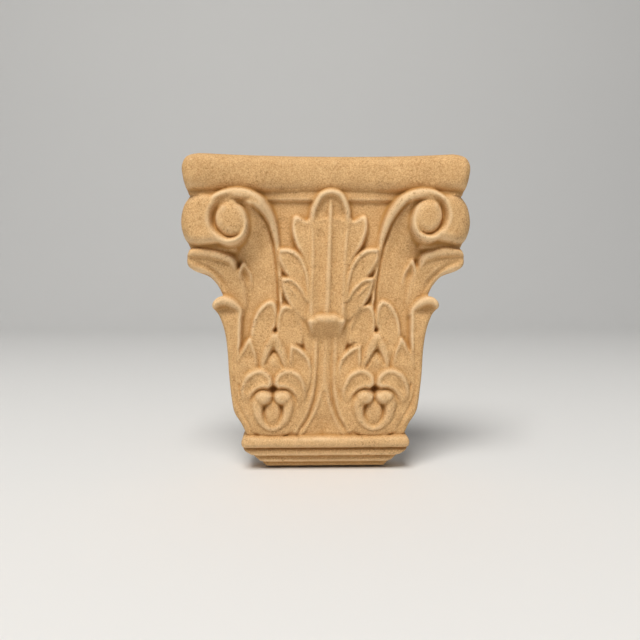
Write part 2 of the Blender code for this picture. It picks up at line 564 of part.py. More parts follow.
def carve(x, z):
    """The depth of the face at each place of the drawing, in millimetres."""
    relief = Relief(np.abs(x), z)
    for feature in (ground, neck_fillet, acanthus, trunk, centre_leaf, ledge, scrolls, foot_side_leaf,
                    upper_side_leaf, volute, abacus, base):
        feature(relief)
    return relief.depth


def edge_drop(x, z):
    """How far the face falls at its rounded outer edge."""
    half = outline_half_width(z)
    slope = (outline_half_width(z + 0.1) - outline_half_width(z - 0.1)) / 0.2
    inside = np.minimum((half - np.abs(x)) / np.sqrt(1.0 + slope ** 2), DRAWN_HALF_HEIGHT - np.abs(z))
    foot, leaves, volute_edge, abacus_edge = EDGE_RADII.values()
    volute_low, volute_high = OUTLINE[3][0][1], OUTLINE[3][-1][1]
    heights = [
        DRAWN_BELL_FOOT - 0.2, DRAWN_BELL_FOOT, volute_low, volute_low + 0.5, volute_high,
        volute_high + 0.3,
    ]
    radius = np.interp(z, heights, [foot, leaves, leaves * 1.3, volute_edge, volute_edge, abacus_edge])
    return round_edge(np.clip(inside, 0.0, None), radius)


def as_moulded(x, z):
    """The place on the even drawing of a place on the real piece, whose carving isn't quite even."""
    clear = 1.0 - np.clip(np.abs(x) / outline_half_width(z), 0.0, 1.0) ** 4
    high = smooth(6.0, 18.0, z) * (1.0 - smooth(27.6, 29.0, z))
    left = 1.0 - smooth(-19.0, -13.0, x)
    return x - LEAN * (z - LEAN_HEIGHT) * clear, z + LEFT_SINK * high * left * clear


def to_part(x, z):
    """The place on the part of a place on the drawing. Base and abacus keep their own heights."""
    drawn = [-DRAWN_HALF_HEIGHT, DRAWN_BELL_FOOT, DRAWN_BELL_TOP, DRAWN_HALF_HEIGHT]
    half = HEIGHT / 2
    real = [-half + DRAFT, -half + BASE_HEIGHT, half - ABACUS_HEIGHT, half - DRAFT]
    return x * (WIDTH / 2 - DRAFT) / DRAWN_HALF_WIDTH, np.interp(z, drawn, real)


def row_heights():
    """The drawn heights of the mesh's rows, closer together where the outline runs nearly level."""
    z = np.linspace(-DRAWN_HALF_HEIGHT, DRAWN_HALF_HEIGHT, 1601)
    half = outline_half_width(z)
    steps = np.minimum(np.hypot(np.diff(half), np.diff(z)), 3.0 * np.diff(z))
    along = np.concatenate([[0.0], np.cumsum(steps)])
    return np.interp(np.linspace(0.0, along[-1], ROWS), along, z)


def face_grid():
    """The face as rows of points from edge to edge: x, z and depth on the drawing, in millimetres."""
    z = row_heights()[:, None] * np.ones(COLUMNS)
    x = np.linspace(-1.0, 1.0, COLUMNS) * outline_half_width(z)
    even_x, even_z = as_moulded(x, z)
    depth = carve(even_x.ravel(), even_z.ravel()).reshape(x.shape)
    return x, z, depth - edge_drop(x, z)


def capital_mesh():
    """The solid: the carved face, walls that spread a little towards the back, and the flat back."""
    x, z, depth = face_grid()
    x, z = to_part(x, z)
    mesh = bmesh.new()
    rows = [[mesh.verts.new((px * MM, -pd * MM, pz * MM)) for px, pz, pd in zip(*row)]
            for row in zip(x, z, depth)]
    for low, high in zip(rows, rows[1:]):
        for a, b, c, d in zip(low, low[1:], high[1:], high):
            mesh.faces.new((a, b, c, d))
    rim = [edge for edge in mesh.edges if edge.is_boundary]
    walls = bmesh.ops.extrude_edge_only(mesh, edges=rim)["geom"]
    back = [item for item in walls if isinstance(item, bmesh.types.BMVert)]
    for vert in back:
        vert.co.x *= WIDTH / (WIDTH - 2 * DRAFT)
        vert.co.z *= HEIGHT / (HEIGHT - 2 * DRAFT)
        vert.co.y = 0.0
    back_rim = [edge for edge in mesh.edges if edge.is_boundary]
    bmesh.ops.contextual_create(mesh, geom=back_rim)
    bmesh.ops.triangulate(mesh, faces=mesh.faces[:])
    bmesh.ops.recalc_face_normals(mesh, faces=mesh.faces[:])
    data = bpy.data.meshes.new("capital_onlay")
    mesh.to_mesh(data)
    mesh.free()
    return data


def pressed_wood():
    """The pale, matt finish of pressed wood flour."""
    material = bpy.data.materials.new("pressed_wood")
    material.use_nodes = True
    shader = material.node_tree.nodes["Principled BSDF"]
    shader.inputs["Base Color"].default_value = (0.61, 0.38, 0.17, 1.0)
    shader.inputs["Roughness"].default_value = 0.85
    shader.inputs["Metallic"].default_value = 0.0
    return material


def make_capital():
    """The onlay: the fine mesh, thinned where the face is plain."""
    data = capital_mesh()
    data.materials.append(pressed_wood())
    capital = bpy.data.objects.new("capital_onlay", data)
    bpy.context.scene.collection.objects.link(capital)
    thin = capital.modifiers.new("thin", "DECIMATE")
    thin.ratio = TRIANGLES / len(data.polygons)
    return capital


def main():
    for item in list(bpy.data.objects):
        bpy.data.objects.remove(item)
    make_capital()


main()
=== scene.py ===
"""The finished look of a moulded pilaster capital: its carved face, its wood and a plain studio."""

import math

import bpy
import numpy as np
from mathutils import Matrix, Vector


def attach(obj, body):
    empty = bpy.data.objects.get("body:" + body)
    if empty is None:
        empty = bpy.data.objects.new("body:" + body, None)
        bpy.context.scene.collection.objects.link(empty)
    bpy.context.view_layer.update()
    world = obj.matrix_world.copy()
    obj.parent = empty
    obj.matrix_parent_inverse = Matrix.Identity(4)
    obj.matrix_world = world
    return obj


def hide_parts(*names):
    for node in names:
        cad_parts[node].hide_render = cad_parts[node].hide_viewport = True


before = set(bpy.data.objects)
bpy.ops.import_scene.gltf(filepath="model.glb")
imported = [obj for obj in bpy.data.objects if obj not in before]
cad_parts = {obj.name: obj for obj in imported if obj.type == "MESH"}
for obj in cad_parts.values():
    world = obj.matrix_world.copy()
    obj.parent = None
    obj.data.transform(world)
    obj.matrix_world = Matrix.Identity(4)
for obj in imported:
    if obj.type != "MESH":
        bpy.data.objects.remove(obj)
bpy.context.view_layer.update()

bl_info = {
    "name": "Pilaster Capital Onlay",
    "version": (1, 0, 0),
    "blender": (4, 5, 0),
    "location": "3D View > Sidebar > Capital",
    "description": "Models a moulded pilaster capital of pressed wood and the studio round it",
    "category": "Object",
}

MM = 0.001

# Overall sizes, in millimetres. The walls spread by the draft towards the back, all the way round.
# The width is a hair less than the solid's, so that the finer mesh stays inside it.
WIDTH = 72.4
HEIGHT = 80.4
BASE_HEIGHT = 9.8
ABACUS_HEIGHT = 9.3
DRAFT = 0.5

# The mesh of the carved face, and the angle over which its edges are sharp
COLUMNS = 293
ROWS = 331
SHARP_ANGLE = math.radians(50.0)

# How finely the outline is measured for the rows, and the most that a level stretch draws them together
OUTLINE_STEPS = 1601
CLOSEST_ROWS = 3.0

# The raster that the carving is worked out on, in millimetres: its cell and its margin
CELL = 0.12
MARGIN = 0.6

# How far round a place its surroundings are taken, in millimetres: near ones tell whether it stands
# proud, and wide ones whether it is sunk
# The wood's material lays pale wear and a painted highlight on proud places, and painted shade on low
# and sunk ones
NEAR = 0.7
WIDE = 2.4

# The wood's unevenness: the width of its lumps and their height, in millimetres
LUMPS = [(1.6, 0.05), (0.6, 0.025)]

# The grain: its size in millimetres, and lumps of mottling and rough patches to the metre
GRAIN_SIZE = 0.36
MOTTLES = 260.0
ROUGH_PATCHES = 160.0

# Depths from the flat back, in millimetres
BELL_FOOT_DEPTH = 10.1
BELL_WAIST_DEPTH = 11.2
BELL_TOP_DEPTH = 12.4
ABACUS_MIDDLE_DEPTH = 15.0
ABACUS_HORN_DEPTH = 20.0
NECK_FILLET_DEPTH = 13.3
VOLUTE_DEPTH = 18.6
STEM_DEPTH = 12.2
CENTRE_LEAF_DEPTH = 13.7
CENTRE_LEAF_TIP_DEPTH = 16.0
LEDGE_DEPTH = 15.2
TRUNK_DEPTH = 11.6
SIDE_LEAF_DEPTH = 12.2
SIDE_LEAF_TIP_DEPTH = 16.4
FOOT_LEAF_TIP_DEPTH = 14.8
ACANTHUS_DEPTH = 12.4
SCROLL_DEPTH = 12.8
TORUS_DEPTH = 12.0
FILLET_STEP = 1.5
WALL_SLOPE = 4.0

# The drawing that the carving follows, in millimetres at the real size, with its middle at nought.
# The outline of its right half, from the foot up: half-width and height of each point that shapes it.
# The stretches are the moulding at the foot, the foot leaf, the side leaf, the volute and the abacus.
OUTLINE = [
    [(15.4, -40.0), (16.8, -38.4), (18.0, -37.2), (19.5, -35.9), (21.0, -34.7), (21.6, -32.6),
     (21.2, -31.1), (20.3, -30.1)],
    [(20.3, -30.1), (21.6, -27.3), (23.3, -24.4), (24.0, -20.6), (24.6, -14.5), (24.9, -8.5),
     (25.5, -3.8), (26.7, 0.0), (28.2, 2.3), (28.2, 3.7), (27.1, 4.9), (25.8, 5.3)],
    [(25.8, 5.3), (27.2, 8.0), (29.3, 10.1), (32.5, 11.5), (34.1, 12.9), (34.2, 14.9), (33.6, 16.6)],
    [(33.6, 16.6), (35.2, 20.0), (35.8, 23.6), (35.1, 27.2), (33.6, 29.8)],
    [(33.6, 29.8), (34.4, 32.6), (34.9, 36.2), (34.2, 38.4), (32.7, 39.5), (30.9, 40.0)],
]
DRAWN_HALF_WIDTH = max(half for stretch in OUTLINE for half, height in stretch)
DRAWN_HALF_HEIGHT = OUTLINE[-1][-1][1]
DRAWN_BELL_FOOT = OUTLINE[0][-1][1]
DRAWN_BELL_TOP = OUTLINE[-1][0][1] + 1.4

# The middle of each pair of scrolls, and how far the bell dips over the torus between the corners
SCROLL_MIDDLE = 12.95
FOOT_DIP = 0.5

# The radius of the face's rounded outer edge at each end of the outline's stretches
EDGE_RADII = {"foot": 1.4, "leaves": 0.9, "volute": 4.5, "abacus": 2.6}

# How the real piece departs from an even one: its carving leans to the right towards the top, and the
# volute on the left sits lower
LEAN = 0.034
LEAN_HEIGHT = -5.0
LEFT_SINK = 1.1


def smooth(low, high, value):
    """Nought below low and one above high, with an even S curve between."""
    share = np.clip((value - low) / (high - low), 0.0, 1.0)
    return share * share * (3.0 - 2.0 * share)


def curve(points, steps=8):
    """A smooth line through the points, with the given number of steps between each two."""
    points = np.asarray(points, float)
    ends = np.vstack([2 * points[0] - points[1], points, 2 * points[-1] - points[-2]])
    t = np.linspace(0.0, 1.0, steps, endpoint=False)[:, None]
    line = []
    for before, start, stop, after in zip(ends, ends[1:], ends[2:], ends[3:]):
        bend = 2 * before - 5 * start + 4 * stop - after
        twist = 3 * start - before - 3 * stop + after
        line.append(0.5 * (2 * start + (stop - before) * t + bend * t ** 2 + twist * t ** 3))
    return np.vstack(line + [points[-1:]])


def shortened(line, length):
    """The line without the last stretch of the given length."""
    along = np.concatenate([[0.0], np.cumsum(np.hypot(*np.diff(line, axis=0).T))])
    places = np.linspace(0.0, along[-1] - length, len(line))
    return np.column_stack([np.interp(places, along, line[:, axis]) for axis in (0, 1)])


def nearest(x, z, line):
    """The distance of each place from a line, and the share of its length where it is nearest."""
    lengths = np.hypot(*np.diff(line, axis=0).T)
    starts = np.concatenate([[0.0], np.cumsum(lengths)])
    best = np.full(x.shape, np.inf)
    share = np.zeros(x.shape)
    for (ax, az), (bx, bz), length, start in zip(line, line[1:], lengths, starts):
        t = np.clip(((x - ax) * (bx - ax) + (z - az) * (bz - az)) / length ** 2, 0.0, 1.0)
        distance = np.hypot(x - ax - t * (bx - ax), z - az - t * (bz - az))
        closer = distance < best
        best[closer] = distance[closer]
        share[closer] = (start + t[closer] * length) / starts[-1]
    return best, share


def within(x, z, line):
    """Whether each point lies inside a closed line."""
    inside = np.zeros(x.shape, bool)
    for (x0, z0), (x1, z1) in zip(line[:-1], line[1:]):
        if z0 != z1:
            crossing = x0 + (z - z0) * (x1 - x0) / (z1 - z0)
            inside ^= ((z0 > z) != (z1 > z)) & (x < crossing)
    return inside


def round_edge(inside, radius):
    """The drop of a rounded edge, by the distance inside it. Outside, the wall falls steeply."""
    share = np.clip(1.0 - inside / radius, 0.0, 1.0)
    rounded = radius * (1.0 - np.sqrt(1.0 - share ** 2))
    return rounded + WALL_SLOPE * np.clip(-inside, 0.0, None)


def outline_half_width(z):
    """Half of the drawn width at each height."""
    line = np.vstack([curve(stretch) for stretch in OUTLINE])
    heights = np.maximum.accumulate(line[:, 1])
    return np.interp(z, heights, line[:, 0])


class Relief:
    """The carved face: a depth at each place of the right half, which the left half mirrors."""

    def __init__(self, x, z):
        self.x = x
        self.z = z
        self.depth = np.zeros(x.shape)

    def near(self, line, reach):
        low = line.min(axis=0) - reach
        high = line.max(axis=0) + reach
        return ((self.x > low[0]) & (self.x < high[0]) & (self.z > low[1]) & (self.z < high[1]))

    def raise_to(self, where, depth):
        self.depth[where] = np.maximum(self.depth[where], depth)

    def lobe(self, points, widths, depths, edge=1.0, rim=0.0, scoop=0.0):
        """A leaf lobe along a spine from its root to its round tip, with a dished face inside its rim.

        widths are half-widths at equal shares of the spine, and depths likewise."""
        line = shortened(curve(points), widths[-1])
        where = self.near(line, max(widths) + 3.0)
        away, share = nearest(self.x[where], self.z[where], line)
        inside = np.interp(share, np.linspace(0, 1, len(widths)), widths) - away
        top = np.interp(share, np.linspace(0, 1, len(depths)), depths)
        top = top - round_edge(inside, edge)
        if scoop:
            top -= scoop * smooth(rim, rim + 1.3, inside) * smooth(0.0, 0.25, share)
        self.raise_to(where, top)

    def leaf(self, points, root, tip, depths, edge=0.8, rim=0.0, scoop=0.0):
        """A leaf lobe with the outline through points, its depth running from the root to the tip.

        Its face is dished inside its rim, more so towards the tip."""
        line = curve(points + points[:1])
        where = self.near(line, 3.0)
        x, z = self.x[where], self.z[where]
        away = nearest(x, z, line)[0]
        inside = np.where(within(x, z, line), away, -away)
        run, rise = tip[0] - root[0], tip[1] - root[1]
        share = np.clip(((x - root[0]) * run + (z - root[1]) * rise) / (run ** 2 + rise ** 2), 0.0, 1.0)
        top = depths[0] + (depths[1] - depths[0]) * share - round_edge(inside, edge)
        if scoop:
            top -= scoop * smooth(rim, rim + 1.2, inside) * smooth(0.15, 0.6, share)
        self.raise_to(where, top)

    def ridge(self, points, widths, depths, flat=0.0):
        """A round band along a line, with half-widths and depths at equal shares of its length."""
        line = curve(points)
        where = self.near(line, max(widths) + 3.0)
        away, share = nearest(self.x[where], self.z[where], line)
        half = np.interp(share, np.linspace(0, 1, len(widths)), widths)
        top = np.interp(share, np.linspace(0, 1, len(depths)), depths)
        radius = half * (1.0 - flat)
        self.raise_to(where, top - round_edge(half - away, np.maximum(radius, 0.2)))

    def groove(self, points, widths, cuts):
        """A round-bottomed groove along a line, with half-widths and cuts at equal shares of it."""
        line = curve(points)
        where = self.near(line, 3.0 * max(widths))
        away, share = nearest(self.x[where], self.z[where], line)
        half = np.interp(share, np.linspace(0, 1, len(widths)), widths)
        cut = np.interp(share, np.linspace(0, 1, len(cuts)), cuts)
        self.depth[where] -= cut * np.exp(-(away / half) ** 2)

    def swell(self, centre, radii, amount):
        """A soft bump, or a hollow where amount is negative."""
        q = ((self.x - centre[0]) / radii[0]) ** 2 + ((self.z - centre[1]) / radii[1]) ** 2
        self.depth += amount * np.exp(-q)

    def dome(self, centre, radii, depth, rise):
        """An oval boss that rises to depth at its middle."""
        q = ((self.x - centre[0]) / radii[0]) ** 2 + ((self.z - centre[1]) / radii[1]) ** 2
        away = (np.sqrt(q) - 1.0) * min(radii)
        top = depth - rise * np.clip(q, 0.0, 1.0) ** 1.5 - WALL_SLOPE * np.clip(away, 0.0, None)
        self.depth = np.maximum(self.depth, top)


def ground(relief):
    """The plain bell behind the carving, which flares forward towards its top."""
    heights = [DRAWN_BELL_FOOT, 5.0, DRAWN_BELL_TOP]
    depths = [BELL_FOOT_DEPTH, BELL_WAIST_DEPTH, BELL_TOP_DEPTH]
    relief.depth = np.interp(relief.z, heights, depths)


def neck_fillet(relief):
    """The narrow fillet between the bell and the abacus."""
    relief.ridge(
        [(0.0, 30.0), (30.0, 30.0)], [1.15, 1.15], [NECK_FILLET_DEPTH, NECK_FILLET_DEPTH], flat=0.75,
    )


def volute(relief):
    """The volute: a rolled side, a ribbon that winds up from the stem, and a round eye."""
    proud = VOLUTE_DEPTH
    groove = [
        (12.1, 2.9), (12.4, 4.8), (12.6, 8.4), (13.0, 12.0), (13.4, 14.8), (14.0, 18.0), (14.8, 20.9),
        (15.6, 23.4), (16.6, 25.3), (17.8, 26.9), (19.2, 28.2),
    ]
    # The bell to the right of the groove rises with the stem, and meets the ribbon at the top
    line = curve(groove)
    beyond = relief.x - np.interp(relief.z, line[:, 1], line[:, 0])
    climb = np.interp(relief.z, [4.0, 15.0, 21.0, 26.0, 29.0], [0.3, 0.5, 1.1, 2.4, 4.2])
    raised = relief.depth + (climb - 0.32 * np.clip(beyond, 0.0, None)).clip(0.0)
    within_bell = (beyond > 0.0) & (relief.z > 4.0) & (relief.z < 30.0)
    relief.raise_to(within_bell, raised[within_bell])
    # The drum behind the ribbon and the roll at its outer side
    relief.swell((20.2, 22.3), (2.9, 5.2), 3.0)
    relief.dome((24.2, 24.8), (3.6, 4.4), proud - 2.0, 0.6)
    relief.lobe([(27.6, 24.4), (38.0, 24.0)], [5.4, 5.8, 6.2], [proud + 0.1, proud - 0.4], edge=2.2)
    relief.ridge(
        [(23.5, 17.9), (28.0, 17.9), (34.0, 17.3)], [0.8, 0.9], [proud - 4.4, proud - 2.6], flat=0.3,
    )
    relief.ridge([(27.6, 30.3), (34.0, 30.2)], [0.9, 1.0], [proud - 2.2, proud - 1.4], flat=0.3)
    # The ribbon climbs the stem, passes over the eye and round it, and closes on its inner side
    ribbon = [
        (11.6, 2.2), (11.8, 6.0), (12.2, 11.0), (12.7, 15.5), (13.3, 19.5), (14.2, 22.8), (15.4, 25.4),
        (16.9, 27.6), (18.5, 29.0), (20.7, 30.0), (23.5, 30.2), (26.3, 29.4), (28.5, 27.6),
        (29.3, 24.7), (28.1, 21.5), (24.9, 19.7), (22.7, 20.1), (21.3, 21.3), (20.7, 23.0),
        (20.7, 24.9), (21.3, 26.4),
    ]
    widths = [0.4, 0.5, 0.65, 0.75, 0.9, 1.0, 1.15, 1.3, 1.2, 1.0, 0.55, 0.25]
    climbing = [STEM_DEPTH + rise for rise in (-0.1, 0.0, 0.2, 0.7, 2.8)]
    depths = climbing + [proud + rise for rise in (-0.8, 0.1, 0.1, 0.1, -0.1, -0.3, -0.5)]
    relief.ridge(ribbon, widths, depths, flat=0.15)
    hollow = [
        (23.2, 29.5), (24.6, 29.4), (26.9, 28.1), (27.9, 25.4), (27.3, 22.7), (24.8, 21.0),
        (22.6, 21.7), (21.7, 23.7),
    ]
    cuts = [0.0, 0.9, 2.2, 2.8, 2.6, 2.2, 1.6, 0.4]
    relief.groove(hollow, [0.45, 0.7, 0.95, 0.9, 0.75, 0.6, 0.4], cuts)
    relief.dome((24.0, 24.9), (3.5, 3.9), proud + 0.2, 1.0)
    # The groove between the stem and the bell
    relief.groove(groove, [0.26, 0.3, 0.32, 0.34, 0.3], [0.9, 1.0, 0.9, 0.9, 0.9, 1.0])


def abacus(relief):
    """The abacus: a pillowed slab, hollow in plan, so that its horns stand forward."""
    outwards = np.clip(relief.x / 33.0, 0.0, 1.0) ** 2.2
    plan = ABACUS_MIDDLE_DEPTH + (ABACUS_HORN_DEPTH - ABACUS_MIDDLE_DEPTH) * outwards
    low = DRAWN_BELL_TOP
    high = DRAWN_HALF_HEIGHT
    middle = (low + high) / 2 + 0.3
    half = (high - low) / 2 + 0.3
    across = np.clip(np.abs((relief.z - middle) / half), 0.0, 0.999)
    pillow = np.where(relief.z > middle, 3.2 * (1.0 - np.sqrt(1.0 - across ** 2.6)),
                      2.3 * (1.0 - np.sqrt(1.0 - across ** 2.2)))
    slab = plan - pillow - WALL_SLOPE * np.clip(low - relief.z, 0.0, None)
    relief.raise_to(relief.z > low - 2.0, slab[relief.z > low - 2.0])


def upper_side_leaf(relief):
    """The leaf that curls out under the volute, its fold line and the small lobe beside it."""
    deep = SIDE_LEAF_DEPTH
    tip = SIDE_LEAF_TIP_DEPTH
    relief.lobe(
        [(24.0, -2.0), (23.6, 5.0), (25.0, 10.4), (29.0, 13.6), (36.0, 13.8)],
        [3.2, 4.2, 3.8, 3.1, 2.7], [deep - 0.9, deep - 0.2, deep + 0.7, tip - 1.9, tip - 0.8], edge=1.8,
    )
    relief.leaf(
        [(18.5, 5.0), (18.5, 8.6), (19.1, 11.3), (20.0, 13.0), (21.0, 14.3), (21.8, 13.2), (22.3, 11.2),
         (22.4, 8.5), (22.2, 5.0)],
        (20.4, 6.0), (21.0, 14.0), (deep - 0.9, deep + 0.6), edge=0.5, rim=0.35, scoop=0.7,
    )
    relief.leaf(
        [(23.2, 6.0), (22.9, 9.5), (22.7, 12.8), (23.2, 15.0), (24.5, 16.4), (26.1, 17.1), (28.9, 17.6),
         (31.8, 17.8), (36.5, 17.4), (37.5, 14.6), (33.6, 14.3), (31.4, 13.5), (28.6, 11.6),
         (26.6, 9.5), (24.9, 6.8), (24.0, 4.6)],
        (27.4, 7.0), (27.6, 17.0), (deep - 0.3, tip - 1.5), edge=1.0,
    )
    relief.ridge(
        [(23.4, 12.6), (24.3, 14.5), (25.9, 15.5), (28.2, 16.1), (31.2, 16.3), (35.0, 15.9)],
        [0.6, 1.1, 1.25, 1.25, 1.15], [deep + 1.5, tip - 1.0, tip - 0.2, tip + 0.1, tip + 0.2],
        flat=0.0,
    )
    relief.ridge(
        [(21.1, 13.9), (21.7, 12.7), (22.0, 10.9), (21.9, 8.0)], [0.35, 0.45, 0.4],
        [deep + 1.0, deep + 1.1, deep + 0.8, deep - 0.2], flat=0.0,
    )
    relief.groove(
        [(33.2, 14.2), (31.4, 13.6), (28.6, 11.9), (26.6, 9.8), (24.9, 7.0), (24.1, 4.5)],
        [0.5, 0.6, 0.7], [0.1, 0.6, 0.9, 0.8, 0.4, 0.0],
    )
    relief.swell((22.3, 13.7), (0.4, 0.8), -0.9)


def foot_side_leaf(relief):
    """The long leaf up each side of the foot, dished between its rims, with a thick cap at its tip."""
    tip = FOOT_LEAF_TIP_DEPTH
    relief.leaf(
        [(21.3, 1.2), (21.4, -2.0), (21.5, -6.0), (21.9, -10.6), (22.2, -15.0), (21.9, -19.0),
         (20.9, -22.2), (19.2, -25.6), (17.9, -29.0), (17.6, -33.0), (24.0, -33.0), (28.0, -20.0),
         (28.0, -6.0), (31.0, 0.0), (31.0, 4.2), (26.0, 4.4), (23.0, 3.4)],
        (21.0, -28.0), (25.0, 3.0), (BELL_FOOT_DEPTH + 0.9, tip - 1.2), edge=0.7, rim=0.1, scoop=0.5,
    )
    relief.swell((25.2, 1.6), (2.4, 1.4), -0.8)
    relief.ridge(
        [(28.4, 3.0), (27.2, 3.9), (25.8, 4.2), (24.4, 3.9), (23.1, 3.1), (22.0, 2.0), (21.5, 0.6)],
        [1.1, 1.2, 1.1, 1.0, 0.8, 0.5], [tip, tip + 0.1, tip - 0.1, tip - 0.6, tip - 1.2, tip - 2.0],
        flat=0.0,
    )
    relief.ridge(
        [(21.6, 1.0), (21.8, -4.0), (22.3, -10.0), (22.6, -16.0), (22.1, -20.5), (20.6, -24.5),
         (18.8, -28.5)],
        [0.45, 0.5, 0.5], [12.5, 12.2, 11.9, 11.4, 10.9], flat=0.0,
    )
    relief.groove(
        [(22.8, -3.3), (22.7, -10.6), (22.9, -16.0), (22.8, -19.7), (21.8, -22.8), (20.1, -26.0),
         (18.9, -28.6)],
        [0.3, 0.35, 0.35], [0.1, 0.25, 0.45, 0.5, 0.4],
    )


def centre_leaf(relief):
    """The tall leaf up the middle: three pairs of side lobes, a ribbed blade and a curled tip."""
    deep = CENTRE_LEAF_DEPTH
    # The foot of the leaf, which spreads to the lobes below it
    relief.leaf(
        [(0.0, 6.0), (5.0, 6.0), (6.6, 3.4), (6.8, 0.4), (6.2, -3.0), (5.6, -6.4), (3.0, -6.4),
         (0.0, -1.0)],
        (4.0, -6.0), (4.0, 4.0), (TRUNK_DEPTH - 0.1, deep - 0.9), edge=0.9,
    )
    # The lowest pair of lobes, and the pair above it
    relief.leaf(
        [(3.6, 3.0), (6.2, 7.2), (8.0, 9.0), (9.8, 9.9), (11.0, 9.9), (11.6, 8.8), (11.4, 7.2),
         (10.6, 4.8), (9.0, 2.4), (7.2, 0.4), (5.4, -0.8), (3.0, -0.8)],
        (5.3, 1.0), (10.9, 9.3), (deep - 0.9, deep - 0.4), edge=0.6,
    )
    relief.leaf(
        [(4.2, 4.0), (4.6, 8.0), (5.2, 11.6), (6.6, 14.6), (8.8, 16.5), (10.6, 17.1), (12.3, 16.8),
         (12.5, 14.8), (12.0, 12.9), (11.0, 10.8), (8.8, 8.4), (6.3, 5.0), (3.4, 1.6)],
        (5.3, 5.0), (11.7, 16.0), (deep - 0.7, deep - 0.2), edge=0.6,
    )
    relief.ridge(
        [(11.8, 16.5), (10.2, 16.5), (8.6, 15.9), (6.9, 14.2), (5.6, 11.4), (5.0, 8.0), (4.8, 4.0)],
        [0.5, 0.55, 0.5, 0.4], [deep + 0.3, deep + 0.4, deep + 0.2, deep - 0.2], flat=0.0,
    )
    relief.ridge(
        [(11.0, 9.3), (9.6, 9.3), (8.0, 8.4), (6.4, 6.6), (5.2, 4.2)],
        [0.45, 0.5, 0.4], [deep + 0.1, deep + 0.2, deep - 0.3], flat=0.0,
    )
    relief.ridge(
        [(10.2, 7.9), (8.6, 6.4), (7.2, 4.2)], [0.35, 0.4, 0.3], [deep - 0.2, deep - 0.2, deep - 0.7],
        flat=0.0,
    )
    # The blade with the upper pair, whose slanted tips stand beside the top lobe
    relief.leaf(
        [(-5.2, 24.2), (0.0, 25.0), (5.2, 24.0), (6.8, 24.4), (8.2, 25.2), (9.2, 24.6), (9.4, 22.0),
         (8.8, 19.4), (8.0, 17.4), (6.6, 15.2), (5.2, 12.2), (4.7, 9.0), (4.5, 4.0), (4.5, -0.8),
         (-4.5, -0.8)],
        (0.0, 0.0), (0.0, 25.0), (deep - 0.3, deep + 0.2), edge=0.7, rim=0.5, scoop=0.25,
    )
    relief.leaf(
        [(-5.2, 24.6), (-4.7, 27.4), (-2.9, 30.6), (0.0, 31.7), (2.9, 30.6), (4.7, 27.4), (5.2, 24.6),
         (5.2, 21.6), (4.8, 18.0), (-4.8, 18.0)],
        (0.0, 20.0), (0.0, 31.0), (deep - 0.5, CENTRE_LEAF_TIP_DEPTH), edge=1.4, rim=0.9, scoop=1.4,
    )
    # The ribs of the blade and the channels between them
    relief.ridge(
        [(0.0, -1.0), (0.0, 29.0)], [0.95, 0.85, 0.6],
        [deep + 0.35, deep + 0.4, deep + 0.5, deep + 0.8], flat=0.0,
    )
    relief.ridge(
        [(3.9, -1.0), (4.0, 12.0), (4.2, 20.0), (4.8, 24.0)], [0.8, 0.7],
        [deep + 0.05, deep + 0.15, deep + 0.3], flat=0.0,
    )
    relief.groove([(1.9, 0.0), (2.0, 24.0)], [0.8, 0.9], [0.35, 0.4, 0.2])
    # The notches beside the lobes, cut down to the bell
    relief.groove([(12.6, 13.8), (11.7, 11.6), (10.4, 10.2)], [0.3, 0.5, 0.4], [0.6, 1.5, 0.9])
    relief.groove([(11.9, 8.2), (11.1, 5.2), (9.6, 2.9)], [0.3, 0.4, 0.3], [0.6, 0.9, 0.5])
    relief.groove([(9.7, 20.4), (8.6, 17.4)], [0.4, 0.4], [0.2, 0.7])


def ledge(relief):
    """The tip of the leaf below, curled forward into a short ledge whose underside slopes back."""
    relief.leaf(
        [(-4.3, -0.4), (0.0, -0.2), (4.3, -0.4), (4.3, -2.8), (3.6, -5.2), (0.0, -6.2), (-3.6, -5.2),
         (-4.3, -2.8)],
        (0.0, -5.2), (0.0, -1.2), (TRUNK_DEPTH - 0.1, LEDGE_DEPTH - 0.6), edge=0.8,
    )
    relief.ridge(
        [(0.0, -0.4), (2.0, -0.45), (3.2, -0.8)], [1.25, 1.2, 1.0],
        [LEDGE_DEPTH, LEDGE_DEPTH - 0.2, LEDGE_DEPTH - 0.8],
    )


def trunk(relief):
    """The fluted trunk below the ledge, which parts at its foot round a three-cornered hollow."""
    deep = TRUNK_DEPTH
    relief.leaf(
        [(0.0, -2.0), (3.6, -2.0), (3.6, -14.0), (3.9, -20.0), (5.4, -25.0), (7.6, -28.2), (9.0, -31.0),
         (0.0, -31.0)],
        (0.0, -30.0), (0.0, -6.0), (deep - 0.9, deep - 0.1), edge=0.8,
    )
    relief.ridge(
        [(0.0, -1.0), (0.0, -18.5)], [1.1, 1.0, 1.0], [deep + 0.1, deep + 0.05, deep - 0.05], flat=0.0,
    )
    relief.ridge(
        [(0.4, -17.0), (1.2, -21.0), (2.5, -25.0), (4.3, -28.4), (5.6, -30.4)],
        [0.7, 0.8, 0.9, 0.9], [deep - 0.1, deep - 0.3, deep - 0.7], flat=0.0,
    )
    relief.ridge(
        [(2.5, -1.0), (2.5, -10.0), (2.6, -16.0), (3.2, -20.5), (4.7, -25.2), (7.0, -29.0)],
        [0.95, 0.95, 0.95, 1.0, 1.2], [deep + 0.2, deep + 0.2, deep, deep - 0.3], flat=0.0,
    )
    relief.groove(
        [(1.5, -4.0), (1.55, -10.0), (1.7, -15.5), (2.2, -20.4), (3.5, -25.0), (5.3, -28.2)],
        [0.3, 0.35, 0.4], [0.15, 0.35, 0.45, 0.6, 0.5],
    )
    relief.swell((0.0, -28.2), (3.0, 3.3), -1.1)
    relief.swell((0.0, -3.6), (4.6, 1.4), -0.7)
    relief.ridge(
        [(4.8, -2.0), (4.6, -6.0), (4.0, -10.0)], [1.2, 1.1, 0.7], [deep + 0.1, deep, deep - 0.2],
        flat=0.5,
    )


